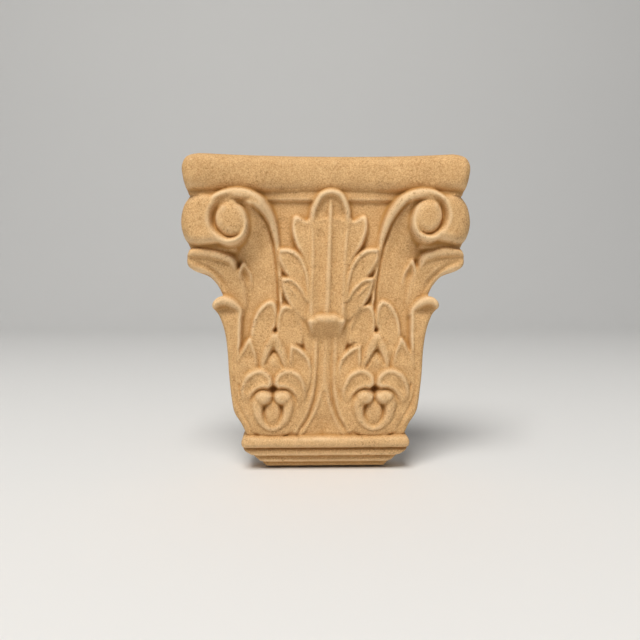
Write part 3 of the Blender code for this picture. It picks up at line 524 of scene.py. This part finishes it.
def acanthus(relief):
    """The leaf between the trunk and the side leaf: lobes that fan out from behind the scrolls."""
    deep = ACANTHUS_DEPTH
    middle = SCROLL_MIDDLE
    relief.lobe(
        [(middle, -24.0), (middle, -12.0), (middle, -2.5)], [7.4, 8.4, 5.8],
        [deep - 0.8, deep - 0.5, deep - 0.6], edge=2.0,
    )
    relief.leaf(
        [(17.0, -12.0), (17.3, -9.6), (18.1, -7.4), (19.0, -5.4), (20.2, -6.2), (21.3, -8.2),
         (22.3, -10.8), (22.8, -15.0), (21.0, -17.5), (17.0, -15.0)],
        (18.6, -14.0), (19.1, -5.8), (deep - 0.6, deep + 0.5), edge=0.5, rim=0.35, scoop=0.6,
    )
    relief.leaf(
        [(12.8, -3.2), (12.3, -0.8), (12.4, 1.4), (13.0, 3.2), (14.2, 4.1), (16.3, 3.0), (18.0, 0.4),
         (18.9, -2.8), (19.0, -6.0), (17.6, -11.0), (14.8, -11.0), (13.4, -6.0)],
        (15.6, -8.0), (14.5, 3.6), (deep - 0.7, deep + 0.5), edge=0.55, rim=0.4, scoop=0.55,
    )
    relief.leaf(
        [(5.5, -5.0), (5.7, -2.6), (6.4, -0.5), (7.8, 1.9), (9.9, 3.0), (11.5, 2.4), (12.5, -0.4),
         (12.7, -3.2), (11.4, -8.0), (8.8, -11.0), (6.4, -8.6)],
        (8.6, -8.5), (9.8, 2.7), (deep - 0.7, deep + 0.4), edge=0.55, rim=0.4, scoop=0.55,
    )
    relief.leaf(
        [(8.9, -7.0), (7.6, -7.4), (5.8, -8.5), (4.2, -10.2), (3.4, -12.4), (3.3, -16.0), (4.4, -19.0),
         (6.6, -17.4), (8.8, -14.0), (9.2, -10.6)],
        (5.5, -17.0), (8.4, -7.6), (deep - 0.5, deep + 0.4), edge=0.5, rim=0.4, scoop=0.7,
    )
    # The inverted V over the scrolls, with the bud inside it
    relief.ridge(
        [(middle - 0.1, -4.9), (middle - 1.4, -8.0), (middle - 2.9, -13.8)],
        [0.95, 1.6, 1.6], [deep + 0.4, deep + 0.3, deep - 0.3], flat=0.25,
    )
    relief.ridge(
        [(middle + 0.3, -5.0), (middle + 1.7, -8.2), (middle + 2.8, -13.2)],
        [0.85, 1.3, 1.2], [deep + 0.3, deep + 0.2, deep - 0.2], flat=0.25,
    )
    relief.groove(
        [(middle - 2.2, -12.6), (middle + 0.1, -8.6), (middle + 2.0, -12.0)],
        [0.3, 0.4, 0.3], [0.9, 1.4, 0.9],
    )
    relief.dome((middle + 0.1, -11.6), (1.7, 1.9), deep - 0.3, 0.7)
    # The deep cuts between the lobes
    relief.groove(
        [(middle - 0.1, -3.6), (middle - 0.4, -1.2), (middle - 0.6, 2.6)],
        [0.28, 0.2, 0.22], [0.9, 0.6, 0.6],
    )
    relief.swell((middle - 0.1, -3.4), (0.5, 0.6), -1.4)
    relief.groove([(17.3, -9.4), (16.6, -12.4), (17.4, -14.4)], [0.4, 0.4], [0.2, 0.5, 0.6])
    relief.groove([(5.3, -8.2), (6.2, -7.4), (7.2, -7.0)], [0.35, 0.4, 0.3], [0.4, 1.1, 0.6])
    relief.groove([(19.9, -5.6), (20.9, -7.6), (21.4, -9.6)], [0.35, 0.4], [0.9, 0.9, 0.1])


def scrolls(relief):
    """The pair of scrolls at the foot of each acanthus, with the cup and the seed between them."""
    deep = SCROLL_DEPTH
    middle = SCROLL_MIDDLE
    relief.dome((middle + 0.2, -21.6), (9.7, 9.2), deep - 0.8, 0.8)
    comma = [
        (0.1, -17.0), (0.4, -15.2), (1.4, -13.9), (3.0, -13.1), (5.0, -13.3), (7.1, -14.7),
        (8.4, -17.3), (8.7, -19.9), (8.0, -22.2), (6.6, -22.4), (5.8, -21.0), (4.9, -19.4),
        (3.5, -18.3), (2.2, -18.0), (1.0, -18.2),
    ]
    ball = [(0.9, -19.3), (2.6, -18.5), (4.4, -19.1), (5.7, -21.0), (5.8, -24.2)]
    for side in (-1, 1):
        relief.leaf(
            [(middle + side * across, height) for across, height in comma],
            (middle + side * 7.6, -22.0), (middle + side * 4.0, -16.0), (deep - 1.1, deep + 0.5),
            edge=0.8, rim=0.7, scoop=0.6,
        )
    # The cup is a horseshoe whose ends are two balls
    relief.swell((middle, -18.6), (1.2, 1.0), -3.0)
    relief.swell((middle, -23.6), (2.8, 3.4), -1.4)
    cup = [
        (-2.6, -20.3), (-4.0, -21.9), (-3.9, -24.0), (-3.2, -26.2), (-1.8, -27.8), (0.0, -28.5),
        (1.8, -27.8), (3.2, -26.2), (3.9, -24.0), (4.0, -21.9), (2.6, -20.3),
    ]
    relief.ridge(
        [(middle + across, height) for across, height in cup],
        [1.5, 1.5, 1.35, 1.0, 0.65, 1.0, 1.35, 1.5, 1.5],
        [deep + rise for rise in (0.2, 0.0, -0.2, -0.5, -0.6, -0.5, -0.2, 0.0, 0.2)], flat=0.1,
    )
    cheek = [(1.0, -21.9), (2.2, -23.0), (2.4, -24.8), (1.6, -26.6)]
    for side in (-1, 1):
        relief.dome((middle + side * 2.5, -20.3), (2.1, 1.8), deep + 0.7, 1.0)
        for line, cuts in ((ball, [0.5, 0.4, 0.3, 0.2, 0.0]), (cheek, [0.5, 0.7, 0.5, 0.1])):
            placed = [(middle + side * across, height) for across, height in line]
            relief.groove(placed, [0.3, 0.37, 0.3], cuts)
    relief.dome((middle, -24.5), (2.1, 3.1), deep - 0.7, 0.7)


def base(relief):
    """The moulding at the foot: a torus and three fillets that step back below it, with fine quirks."""
    moulding = TORUS_DEPTH + 0.2 - round_edge(1.9 - np.abs(relief.z + 31.95), 1.7)
    for count, (height, half) in enumerate([(-35.15, 1.0), (-37.35, 0.9), (-39.4, 0.8)], start=1):
        fillet = TORUS_DEPTH - count * FILLET_STEP - round_edge(half - np.abs(relief.z - height), 0.3)
        moulding = np.maximum(moulding, fillet)
        moulding -= 0.35 * np.exp(-((relief.z - height - half - 0.1) / 0.22) ** 2)
    # The line between the bell and the torus rises a little towards the corner
    line = DRAWN_BELL_FOOT - FOOT_DIP * (1.0 - 0.6 * smooth(12.0, 20.5, relief.x))
    relief.depth = np.where(relief.z < line, moulding, relief.depth)
    relief.depth -= 0.5 * np.exp(-((relief.z - line) / 0.25) ** 2)


def carve(x, z):
    """The depth of the face at each place of the drawing, in millimetres."""
    relief = Relief(np.abs(x), z)
    for feature in (ground, neck_fillet, acanthus, trunk, centre_leaf, ledge, scrolls, foot_side_leaf,
                    upper_side_leaf, volute, abacus, base):
        feature(relief)
    return relief.depth


def edge_drop(x, z):
    """How far the face falls at its rounded outer edge."""
    half = outline_half_width(z)
    slope = (outline_half_width(z + 0.1) - outline_half_width(z - 0.1)) / 0.2
    inside = np.minimum((half - np.abs(x)) / np.sqrt(1.0 + slope ** 2), DRAWN_HALF_HEIGHT - np.abs(z))
    foot, leaves, volute_edge, abacus_edge = EDGE_RADII.values()
    volute_low, volute_high = OUTLINE[3][0][1], OUTLINE[3][-1][1]
    heights = [
        DRAWN_BELL_FOOT - 0.2, DRAWN_BELL_FOOT, volute_low, volute_low + 0.5, volute_high,
        volute_high + 0.3,
    ]
    radius = np.interp(z, heights, [foot, leaves, leaves * 1.3, volute_edge, volute_edge, abacus_edge])
    return round_edge(np.clip(inside, 0.0, None), radius)


def as_moulded(x, z):
    """The place on the even drawing of a place on the real piece, whose carving isn't quite even."""
    clear = 1.0 - np.clip(np.abs(x) / outline_half_width(z), 0.0, 1.0) ** 4
    high = smooth(6.0, 18.0, z) * (1.0 - smooth(27.6, 29.0, z))
    left = 1.0 - smooth(-19.0, -13.0, x)
    return x - LEAN * (z - LEAN_HEIGHT) * clear, z + LEFT_SINK * high * left * clear


def soft_noise(shape, cell, seed):
    """Smooth random values of about -1 to 1 on a raster, with lumps a cell wide."""
    rng = np.random.default_rng(seed)
    values = rng.standard_normal([int(count / cell) + 3 for count in shape])
    for axis, count in enumerate(shape):
        places = np.linspace(0.0, (count - 1) / cell, count)
        low = places.astype(int)
        share = smooth(0.0, 1.0, places - low)
        share = share[:, None] if axis == 0 else share
        first = np.take(values, low, axis)
        values = first + (np.take(values, low + 1, axis) - first) * share
    return values


def blurred(values, sigma):
    """The raster's values blurred, with sigma in cells."""
    reach = int(3 * sigma) + 1
    weights = np.exp(-0.5 * (np.arange(-reach, reach + 1) / sigma) ** 2)
    weights /= weights.sum()
    for axis, pads in enumerate((((reach, reach), (0, 0)), ((0, 0), (reach, reach)))):
        padded = np.pad(values, pads, "edge")
        count = values.shape[axis]
        values = sum(weight * np.take(padded, range(first, first + count), axis)
                     for first, weight in enumerate(weights))
    return values


class Raster:
    """The carved face on a fine raster of the drawing, from which the mesh takes its depths.

    proud and sunk tell how far each place stands before its near surroundings, or behind its wide
    ones."""

    def __init__(self, rounding):
        reach = DRAWN_HALF_WIDTH + MARGIN
        xs = np.arange(-reach, reach, CELL)
        zs = np.arange(-DRAWN_HALF_HEIGHT - MARGIN, DRAWN_HALF_HEIGHT + MARGIN, CELL)
        self.low = (xs[0], zs[0])
        x, z = np.meshgrid(xs, zs)
        even_x, even_z = as_moulded(x, np.clip(z, -DRAWN_HALF_HEIGHT, DRAWN_HALF_HEIGHT))
        sharp = carve(even_x.ravel(), even_z.ravel()).reshape(x.shape)
        self.depth = blurred(sharp, rounding / CELL)
        for seed, (lump, height) in enumerate(LUMPS, start=3):
            self.depth += height * soft_noise(x.shape, lump / CELL, seed)
        self.proud = self.depth - blurred(self.depth, NEAR / CELL)
        self.sunk = blurred(self.depth, WIDE / CELL) - self.depth

    def sample(self, values, x, z):
        """The raster's values at places of the drawing, blended between its cells."""
        across = np.clip((x - self.low[0]) / CELL, 0, values.shape[1] - 1.001)
        up = np.clip((z - self.low[1]) / CELL, 0, values.shape[0] - 1.001)
        i, j = across.astype(int), up.astype(int)
        s, t = across - i, up - j
        lower = values[j, i] * (1 - s) + values[j, i + 1] * s
        upper = values[j + 1, i] * (1 - s) + values[j + 1, i + 1] * s
        return lower * (1 - t) + upper * t


def to_part(x, z):
    """The place on the part of a place on the drawing. Base and abacus keep their own heights."""
    drawn = [-DRAWN_HALF_HEIGHT, DRAWN_BELL_FOOT, DRAWN_BELL_TOP, DRAWN_HALF_HEIGHT]
    half = HEIGHT / 2
    real = [-half + DRAFT, -half + BASE_HEIGHT, half - ABACUS_HEIGHT, half - DRAFT]
    return x * (WIDTH / 2 - DRAFT) / DRAWN_HALF_WIDTH, np.interp(z, drawn, real)


def row_heights():
    """The drawn heights of the mesh's rows, closer together where the outline runs nearly level."""
    z = np.linspace(-DRAWN_HALF_HEIGHT, DRAWN_HALF_HEIGHT, OUTLINE_STEPS)
    half = outline_half_width(z)
    steps = np.minimum(np.hypot(np.diff(half), np.diff(z)), CLOSEST_ROWS * np.diff(z))
    along = np.concatenate([[0.0], np.cumsum(steps)])
    return np.interp(np.linspace(0.0, along[-1], ROWS), along, z)


def deselect_all():
    """Nothing selected, so that the next operator acts on the new piece alone."""
    bpy.ops.object.select_all(action="DESELECT")


def face_points(rounding):
    """The carved face's points, row by row, and how proud or sunk each one stands."""
    z = row_heights()[:, None] * np.ones(COLUMNS)
    x = outline_half_width(z) * np.linspace(-1.0, 1.0, COLUMNS)
    raster = Raster(rounding)
    depth = raster.sample(raster.depth, x, z) - edge_drop(x, z)
    # How proud or sunk each point stands, which the wood's material turns into pale wear with a painted
    # highlight, and painted shade
    tones = {
        "proud": raster.sample(raster.proud, x, z).ravel(),
        "sunk": raster.sample(raster.sunk, x, z).ravel(),
    }
    part_x, part_z = to_part(x, z)
    points = np.stack([part_x, -depth, part_z], axis=-1).reshape(-1, 3) * MM
    return points, tones


def carved_face(rounding):
    """A grid laid over the front and pressed to the carving's depths."""
    deselect_all()
    bpy.ops.mesh.primitive_grid_add(
        x_subdivisions=COLUMNS - 1, y_subdivisions=ROWS - 1, size=HEIGHT * MM)
    face = bpy.context.object
    face.name = "capital_pressed_wood"
    points, tones = face_points(rounding)
    face.data.vertices.foreach_set("co", points.ravel())
    for name, values in tones.items():
        face.data.attributes.new(name, "FLOAT", "POINT").data.foreach_set("value", values)
    face.data.update()
    return face


def close_the_back(face):
    """Runs the walls back from the face's edge with their draft, and closes the flat, plain back."""
    spread = (WIDTH / (WIDTH - 2 * DRAFT), 0.0, HEIGHT / (HEIGHT - 2 * DRAFT))
    bpy.ops.object.mode_set(mode="EDIT")
    bpy.ops.mesh.select_mode(type="VERT")
    bpy.ops.mesh.select_all(action="SELECT")
    bpy.ops.mesh.region_to_loop()
    bpy.ops.mesh.extrude_edges_move()
    bpy.ops.transform.resize(value=spread, center_override=(0.0, 0.0, 0.0))
    bpy.ops.mesh.edge_face_add()
    bpy.ops.mesh.select_all(action="SELECT")
    bpy.ops.mesh.normals_make_consistent(inside=False)
    bpy.ops.object.mode_set(mode="OBJECT")
    bpy.ops.object.shade_smooth_by_angle(angle=SHARP_ANGLE)
    # The flat back gets none of the painted highlight or painted shade
    for name in ("proud", "sunk"):
        for vertex, tone in zip(face.data.vertices, face.data.attributes[name].data):
            if vertex.co.y == 0.0:
                tone.value = 0.0


def noise(nodes, links, vector, scale, detail, roughness=0.5):
    """A noise texture's value, at a scale that is a number or a socket."""
    texture = nodes.new("ShaderNodeTexNoise")
    texture.inputs["Detail"].default_value = detail
    texture.inputs["Roughness"].default_value = roughness
    links.new(vector, texture.inputs["Vector"])
    if isinstance(scale, float):
        texture.inputs["Scale"].default_value = scale
    else:
        links.new(scale, texture.inputs["Scale"])
    return texture.outputs["Fac"]


def sum_of(nodes, links, operation, first, second):
    """The result of a sum, whose second value is a number or a socket."""
    node = nodes.new("ShaderNodeMath")
    node.operation = operation
    for value, socket in zip((first, second), node.inputs):
        if isinstance(value, float):
            socket.default_value = value
        else:
            links.new(value, socket)
    return node.outputs[0]


def mask(nodes, links, value, start, full, most=1.0):
    """Nought where the value is at the start, rising to the most where it is at the full mark."""
    node = nodes.new("ShaderNodeMapRange")
    node.inputs["From Min"].default_value = start
    node.inputs["From Max"].default_value = full
    node.inputs["To Max"].default_value = most
    links.new(value, node.inputs["Value"])
    return node.outputs["Result"]


def mixed(nodes, links, first, second, amount, blend="MIX"):
    """Two colours mixed. The second is a colour or a socket, and the amount a number or a socket."""
    node = nodes.new("ShaderNodeMix")
    node.data_type = "RGBA"
    node.blend_type = blend
    links.new(first, node.inputs["A"])
    for value, socket in ((second, node.inputs["B"]), (amount, node.inputs["Factor"])):
        if isinstance(value, (tuple, float)):
            socket.default_value = value
        else:
            links.new(value, socket)
    return node.outputs["Result"]


def grain_group():
    """Shared by the wood's materials: the speckle of pressed wood flour, its mottling and its pores."""
    group = bpy.data.node_groups.new("pressed_grain", "ShaderNodeTree")
    group.interface.new_socket("Vector", in_out="INPUT", socket_type="NodeSocketVector")
    size = group.interface.new_socket("Grain Size", in_out="INPUT", socket_type="NodeSocketFloat")
    size.default_value = GRAIN_SIZE
    for name in ("Speckle", "Mottle", "Pores"):
        group.interface.new_socket(name, in_out="OUTPUT", socket_type="NodeSocketFloat")
    nodes, links = group.nodes, group.links
    given = nodes.new("NodeGroupInput")
    result = nodes.new("NodeGroupOutput")
    vector = given.outputs["Vector"]
    fine = sum_of(nodes, links, "DIVIDE", 1000.0, given.outputs["Grain Size"])
    coarse = sum_of(nodes, links, "MULTIPLY", fine, 0.6)
    pits = mask(nodes, links, noise(nodes, links, vector, coarse, 1.0), 0.42, 0.3)
    rough = mask(nodes, links, noise(nodes, links, vector, ROUGH_PATCHES, 2.0), 0.44, 0.58)
    links.new(noise(nodes, links, vector, fine, 3.0, 0.6), result.inputs["Speckle"])
    links.new(noise(nodes, links, vector, MOTTLES, 3.0), result.inputs["Mottle"])
    links.new(sum_of(nodes, links, "MULTIPLY", pits, rough), result.inputs["Pores"])
    return group


def ramp(nodes, stops):
    """A colour ramp node with the given places and colours."""
    node = nodes.new("ShaderNodeValToRGB")
    elements = node.color_ramp.elements
    while len(elements) < len(stops):
        elements.new(0.5)
    for element, (place, colour) in zip(elements, stops):
        element.position = place
        element.color = colour
    return node


def pressed_wood(colours):
    """Pressed wood flour: a speckled tan, paler on proud edges from wear and a painted highlight,
    browner in grooves and hollows from painted shade.
    """
    material = bpy.data.materials.new("pressed_wood")
    material.use_nodes = True
    nodes, links = material.node_tree.nodes, material.node_tree.links
    shader = nodes["Principled BSDF"]
    shader.inputs["Roughness"].default_value = 0.82
    shader.inputs["Specular IOR Level"].default_value = 0.3
    place = nodes.new("ShaderNodeTexCoord")
    grain = nodes.new("ShaderNodeGroup")
    grain.node_tree = grain_group()
    links.new(place.outputs["Object"], grain.inputs["Vector"])
    stands = {}
    for name in ("proud", "sunk"):
        node = nodes.new("ShaderNodeAttribute")
        node.attribute_name = name
        stands[name] = node.outputs["Fac"]

    speckled = ramp(nodes, [(0.3, colours["dark"]), (0.5, colours["face"]), (0.7, colours["light"])])
    links.new(grain.outputs["Speckle"], speckled.inputs["Fac"])
    tone = ramp(nodes, [(0.35, (0.86, 0.84, 0.81, 1.0)), (0.65, (1.0, 1.0, 1.0, 1.0))])
    links.new(grain.outputs["Mottle"], tone.inputs["Fac"])
    colour = mixed(nodes, links, speckled.outputs["Color"], tone.outputs["Color"], 0.6, "MULTIPLY")
    # Each colour laid over the wood, and how much of it there is
    wear_pores_and_painted_light = (
        # Pale rubbed wear on proud edges, together with a painted highlight there
        ("rim", mask(nodes, links, stands["proud"], 0.06, 0.5, 0.62)),
        # Painted shade: a darker brown in grooves and narrow recesses
        ("hollow", mask(nodes, links, stands["proud"], -0.1, -0.7)),
        # Painted shade, fainter and wider, over places sunk below their wide surroundings, as round the
        # foot of tall forms
        ("hollow", mask(nodes, links, stands["sunk"], 0.1, 1.6, 0.35)),
        ("pores", sum_of(nodes, links, "MULTIPLY", grain.outputs["Pores"], 0.6)),
    )
    for name, amount in wear_pores_and_painted_light:
        colour = mixed(nodes, links, colour, colours[name], amount)
    links.new(colour, shader.inputs["Base Color"])

    bump = nodes.new("ShaderNodeBump")
    bump.inputs["Strength"].default_value = 0.35
    bump.inputs["Distance"].default_value = 0.00012
    height = sum_of(nodes, links, "SUBTRACT", grain.outputs["Speckle"], grain.outputs["Pores"])
    links.new(height, bump.inputs["Height"])
    links.new(bump.outputs["Normal"], shader.inputs["Normal"])
    return material


class CapitalSizes(bpy.types.PropertyGroup):
    """Sizes that a user may change."""

    rounding: bpy.props.FloatProperty(
        name="Rounding",
        description="How far the mould's wear has rounded the carving, in millimetres",
        default=0.18,
        min=0.05,
        max=0.6,
    )


def colour_setting(name, description, default):
    """A colour that a user may change."""
    return bpy.props.FloatVectorProperty(
        name=name, description=description, subtype="COLOR", size=4, min=0.0, max=1.0, default=default)


class CapitalColours(bpy.types.PropertyGroup):
    """Colours that a user may change."""

    face: colour_setting("Face", "The pressed wood's own colour", (0.62, 0.375, 0.165, 1.0))
    light: colour_setting("Light grains", "The palest grains of the wood", (0.76, 0.51, 0.25, 1.0))
    dark: colour_setting("Dark grains", "The darkest grains of the wood", (0.49, 0.27, 0.105, 1.0))
    # Proud edges: partly pale rubbed wear, partly a painted highlight where raised edges catch the
    # light
    rim: colour_setting("Proud edges", "Rims and edges, rubbed pale", (0.84, 0.62, 0.37, 1.0))
    # Grooves: painted shade, the darker brown laid into grooves and hollows
    hollow: colour_setting("Grooves", "The browner wood in the grooves", (0.43, 0.22, 0.062, 1.0))
    pores: colour_setting("Pores", "The small pits where the wood is rough", (0.33, 0.165, 0.05, 1.0))
    floor: colour_setting("Floor", "The studio's floor", (0.78, 0.78, 0.77, 1.0))


WOOD_COLOURS = ("face", "light", "dark", "rim", "hollow", "pores")


class OBJECT_OT_carved_capital(bpy.types.Operator):
    """Model the capital with its carved face and flat back"""

    bl_idname = "object.carved_capital"
    bl_label = "Carved Capital"

    def execute(self, context):
        colours = context.scene.capital_colours
        face = carved_face(context.scene.capital_sizes.rounding)
        close_the_back(face)
        material = pressed_wood({name: tuple(getattr(colours, name)) for name in WOOD_COLOURS})
        face.data.materials.append(material)
        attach(face, "root")
        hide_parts("capital_onlay")
        return {"FINISHED"}


# The camera, as the photograph was taken: its place in millimetres, the directions of the picture's
# right and top, and its lens and sensor
CAMERA_PLACE = (-6.5, -188.0, 9.0)
CAMERA_RIGHT = (0.99959, -0.02851, 0.0)
CAMERA_UP = (0.00163, 0.05703, 0.99837)
LENS = 39.4
SENSOR = 36.0
NEAREST_SEEN = 0.005


def camera():
    """A camera straight in front of the carving, nearly level."""
    deselect_all()
    bpy.ops.object.camera_add()
    seen = bpy.context.object
    right, up = Vector(CAMERA_RIGHT).normalized(), Vector(CAMERA_UP).normalized()
    back = right.cross(up).normalized()
    turn = Matrix((right, back.cross(right), back)).transposed().to_4x4()
    seen.matrix_world = Matrix.Translation(Vector(CAMERA_PLACE) * MM) @ turn
    seen.data.lens = LENS
    seen.data.sensor_width = SENSOR
    seen.data.clip_start = NEAREST_SEEN
    bpy.context.scene.camera = seen


# The floor, in metres: its size, how far behind the capital it ends, the radius that it curves up with
# and the height of the wall over the curve
FLOOR_SIZE = 4.0
FLOOR_END = 0.5
FLOOR_CURVE = 0.4
WALL_HEIGHT = 2.0

# The lights: a warm key from above on the left, and a fill from below. Places and sizes in metres.
LIGHTS = {
    "key_light": {
        "place": (-0.16, -0.64, 0.86), "target": (0.0, 0.0, 0.0), "size": 0.5, "watts": 12.4,
        "colour": (1.0, 0.97, 0.93),
    },
    "fill_light": {
        "place": (0.08, -0.3, -0.2), "target": (0.0, 0.0, -0.03), "size": 0.3, "watts": 8.0,
        "colour": (1.0, 1.0, 1.0),
    },
}
WORLD_COLOUR = (0.9, 0.92, 0.95, 1.0)
WORLD_STRENGTH = 0.2


def softbox(name, place, target, size, watts, colour):
    """A square area light that faces the target. Places and size are in metres."""
    deselect_all()
    bpy.ops.object.light_add(type="AREA", location=place)
    lamp = bpy.context.object
    lamp.name = name
    lamp.rotation_euler = (Vector(target) - Vector(place)).to_track_quat("-Z", "Y").to_euler()
    lamp.data.size = size
    lamp.data.energy = watts
    lamp.data.color = colour


def floor(colour):
    """A pale floor that the capital stands on, which curves up into a wall far behind it."""
    deselect_all()
    low = -HEIGHT / 2 * MM
    bpy.ops.mesh.primitive_plane_add(size=FLOOR_SIZE, location=(0.0, FLOOR_END - FLOOR_SIZE / 2, low))
    ground = bpy.context.object
    ground.name = "studio_floor"
    bpy.ops.object.transform_apply(location=True, rotation=True, scale=True)
    far = [vertex.co.y > 0.0 for vertex in ground.data.vertices]
    bpy.ops.object.mode_set(mode="EDIT")
    bpy.ops.mesh.select_mode(type="EDGE")
    bpy.ops.mesh.select_all(action="DESELECT")
    bpy.ops.object.mode_set(mode="OBJECT")
    for edge in ground.data.edges:
        edge.select = all(far[end] for end in edge.vertices)
    bpy.ops.object.mode_set(mode="EDIT")
    bpy.ops.mesh.spin(steps=24, angle=math.radians(-90.0), center=(0.0, FLOOR_END, low + FLOOR_CURVE),
                      axis=(1.0, 0.0, 0.0))
    bpy.ops.mesh.extrude_edges_move(TRANSFORM_OT_translate={"value": (0.0, 0.0, WALL_HEIGHT)})
    bpy.ops.mesh.select_all(action="SELECT")
    bpy.ops.mesh.normals_make_consistent(inside=True)
    bpy.ops.object.mode_set(mode="OBJECT")
    bpy.ops.object.shade_smooth()
    material = bpy.data.materials.new("studio_floor")
    material.use_nodes = True
    shader = material.node_tree.nodes["Principled BSDF"]
    shader.inputs["Base Color"].default_value = colour
    shader.inputs["Roughness"].default_value = 0.9
    ground.data.materials.append(material)


class OBJECT_OT_capital_studio(bpy.types.Operator):
    """Set up the floor, the lights and the camera"""

    bl_idname = "object.capital_studio"
    bl_label = "Capital Studio"

    def execute(self, context):
        floor(tuple(context.scene.capital_colours.floor))
        for name, light in LIGHTS.items():
            softbox(name, **light)
        world = bpy.data.worlds.new("studio") if context.scene.world is None else context.scene.world
        context.scene.world = world
        world.use_nodes = True
        background = world.node_tree.nodes["Background"]
        background.inputs["Color"].default_value = WORLD_COLOUR
        background.inputs["Strength"].default_value = WORLD_STRENGTH
        context.scene.view_settings.view_transform = "Standard"
        camera()
        return {"FINISHED"}


class VIEW3D_PT_capital(bpy.types.Panel):
    """The capital's sizes, colours and steps"""

    bl_label = "Capital"
    bl_space_type = "VIEW_3D"
    bl_region_type = "UI"
    bl_category = "Capital"

    def draw(self, context):
        layout = self.layout
        layout.prop(context.scene.capital_sizes, "rounding")
        for name in WOOD_COLOURS + ("floor",):
            layout.prop(context.scene.capital_colours, name)
        for step in STEPS:
            layout.operator(step.bl_idname)


STEPS = (OBJECT_OT_carved_capital, OBJECT_OT_capital_studio)
CLASSES = (CapitalSizes, CapitalColours) + STEPS + (VIEW3D_PT_capital,)


def register():
    for kind in CLASSES:
        bpy.utils.register_class(kind)
    bpy.types.Scene.capital_sizes = bpy.props.PointerProperty(type=CapitalSizes)
    bpy.types.Scene.capital_colours = bpy.props.PointerProperty(type=CapitalColours)


def unregister():
    del bpy.types.Scene.capital_colours
    del bpy.types.Scene.capital_sizes
    for kind in reversed(CLASSES):
        bpy.utils.unregister_class(kind)


def main():
    register()
    bpy.ops.object.carved_capital()
    bpy.ops.object.capital_studio()


if __name__ == "__main__":
    main()
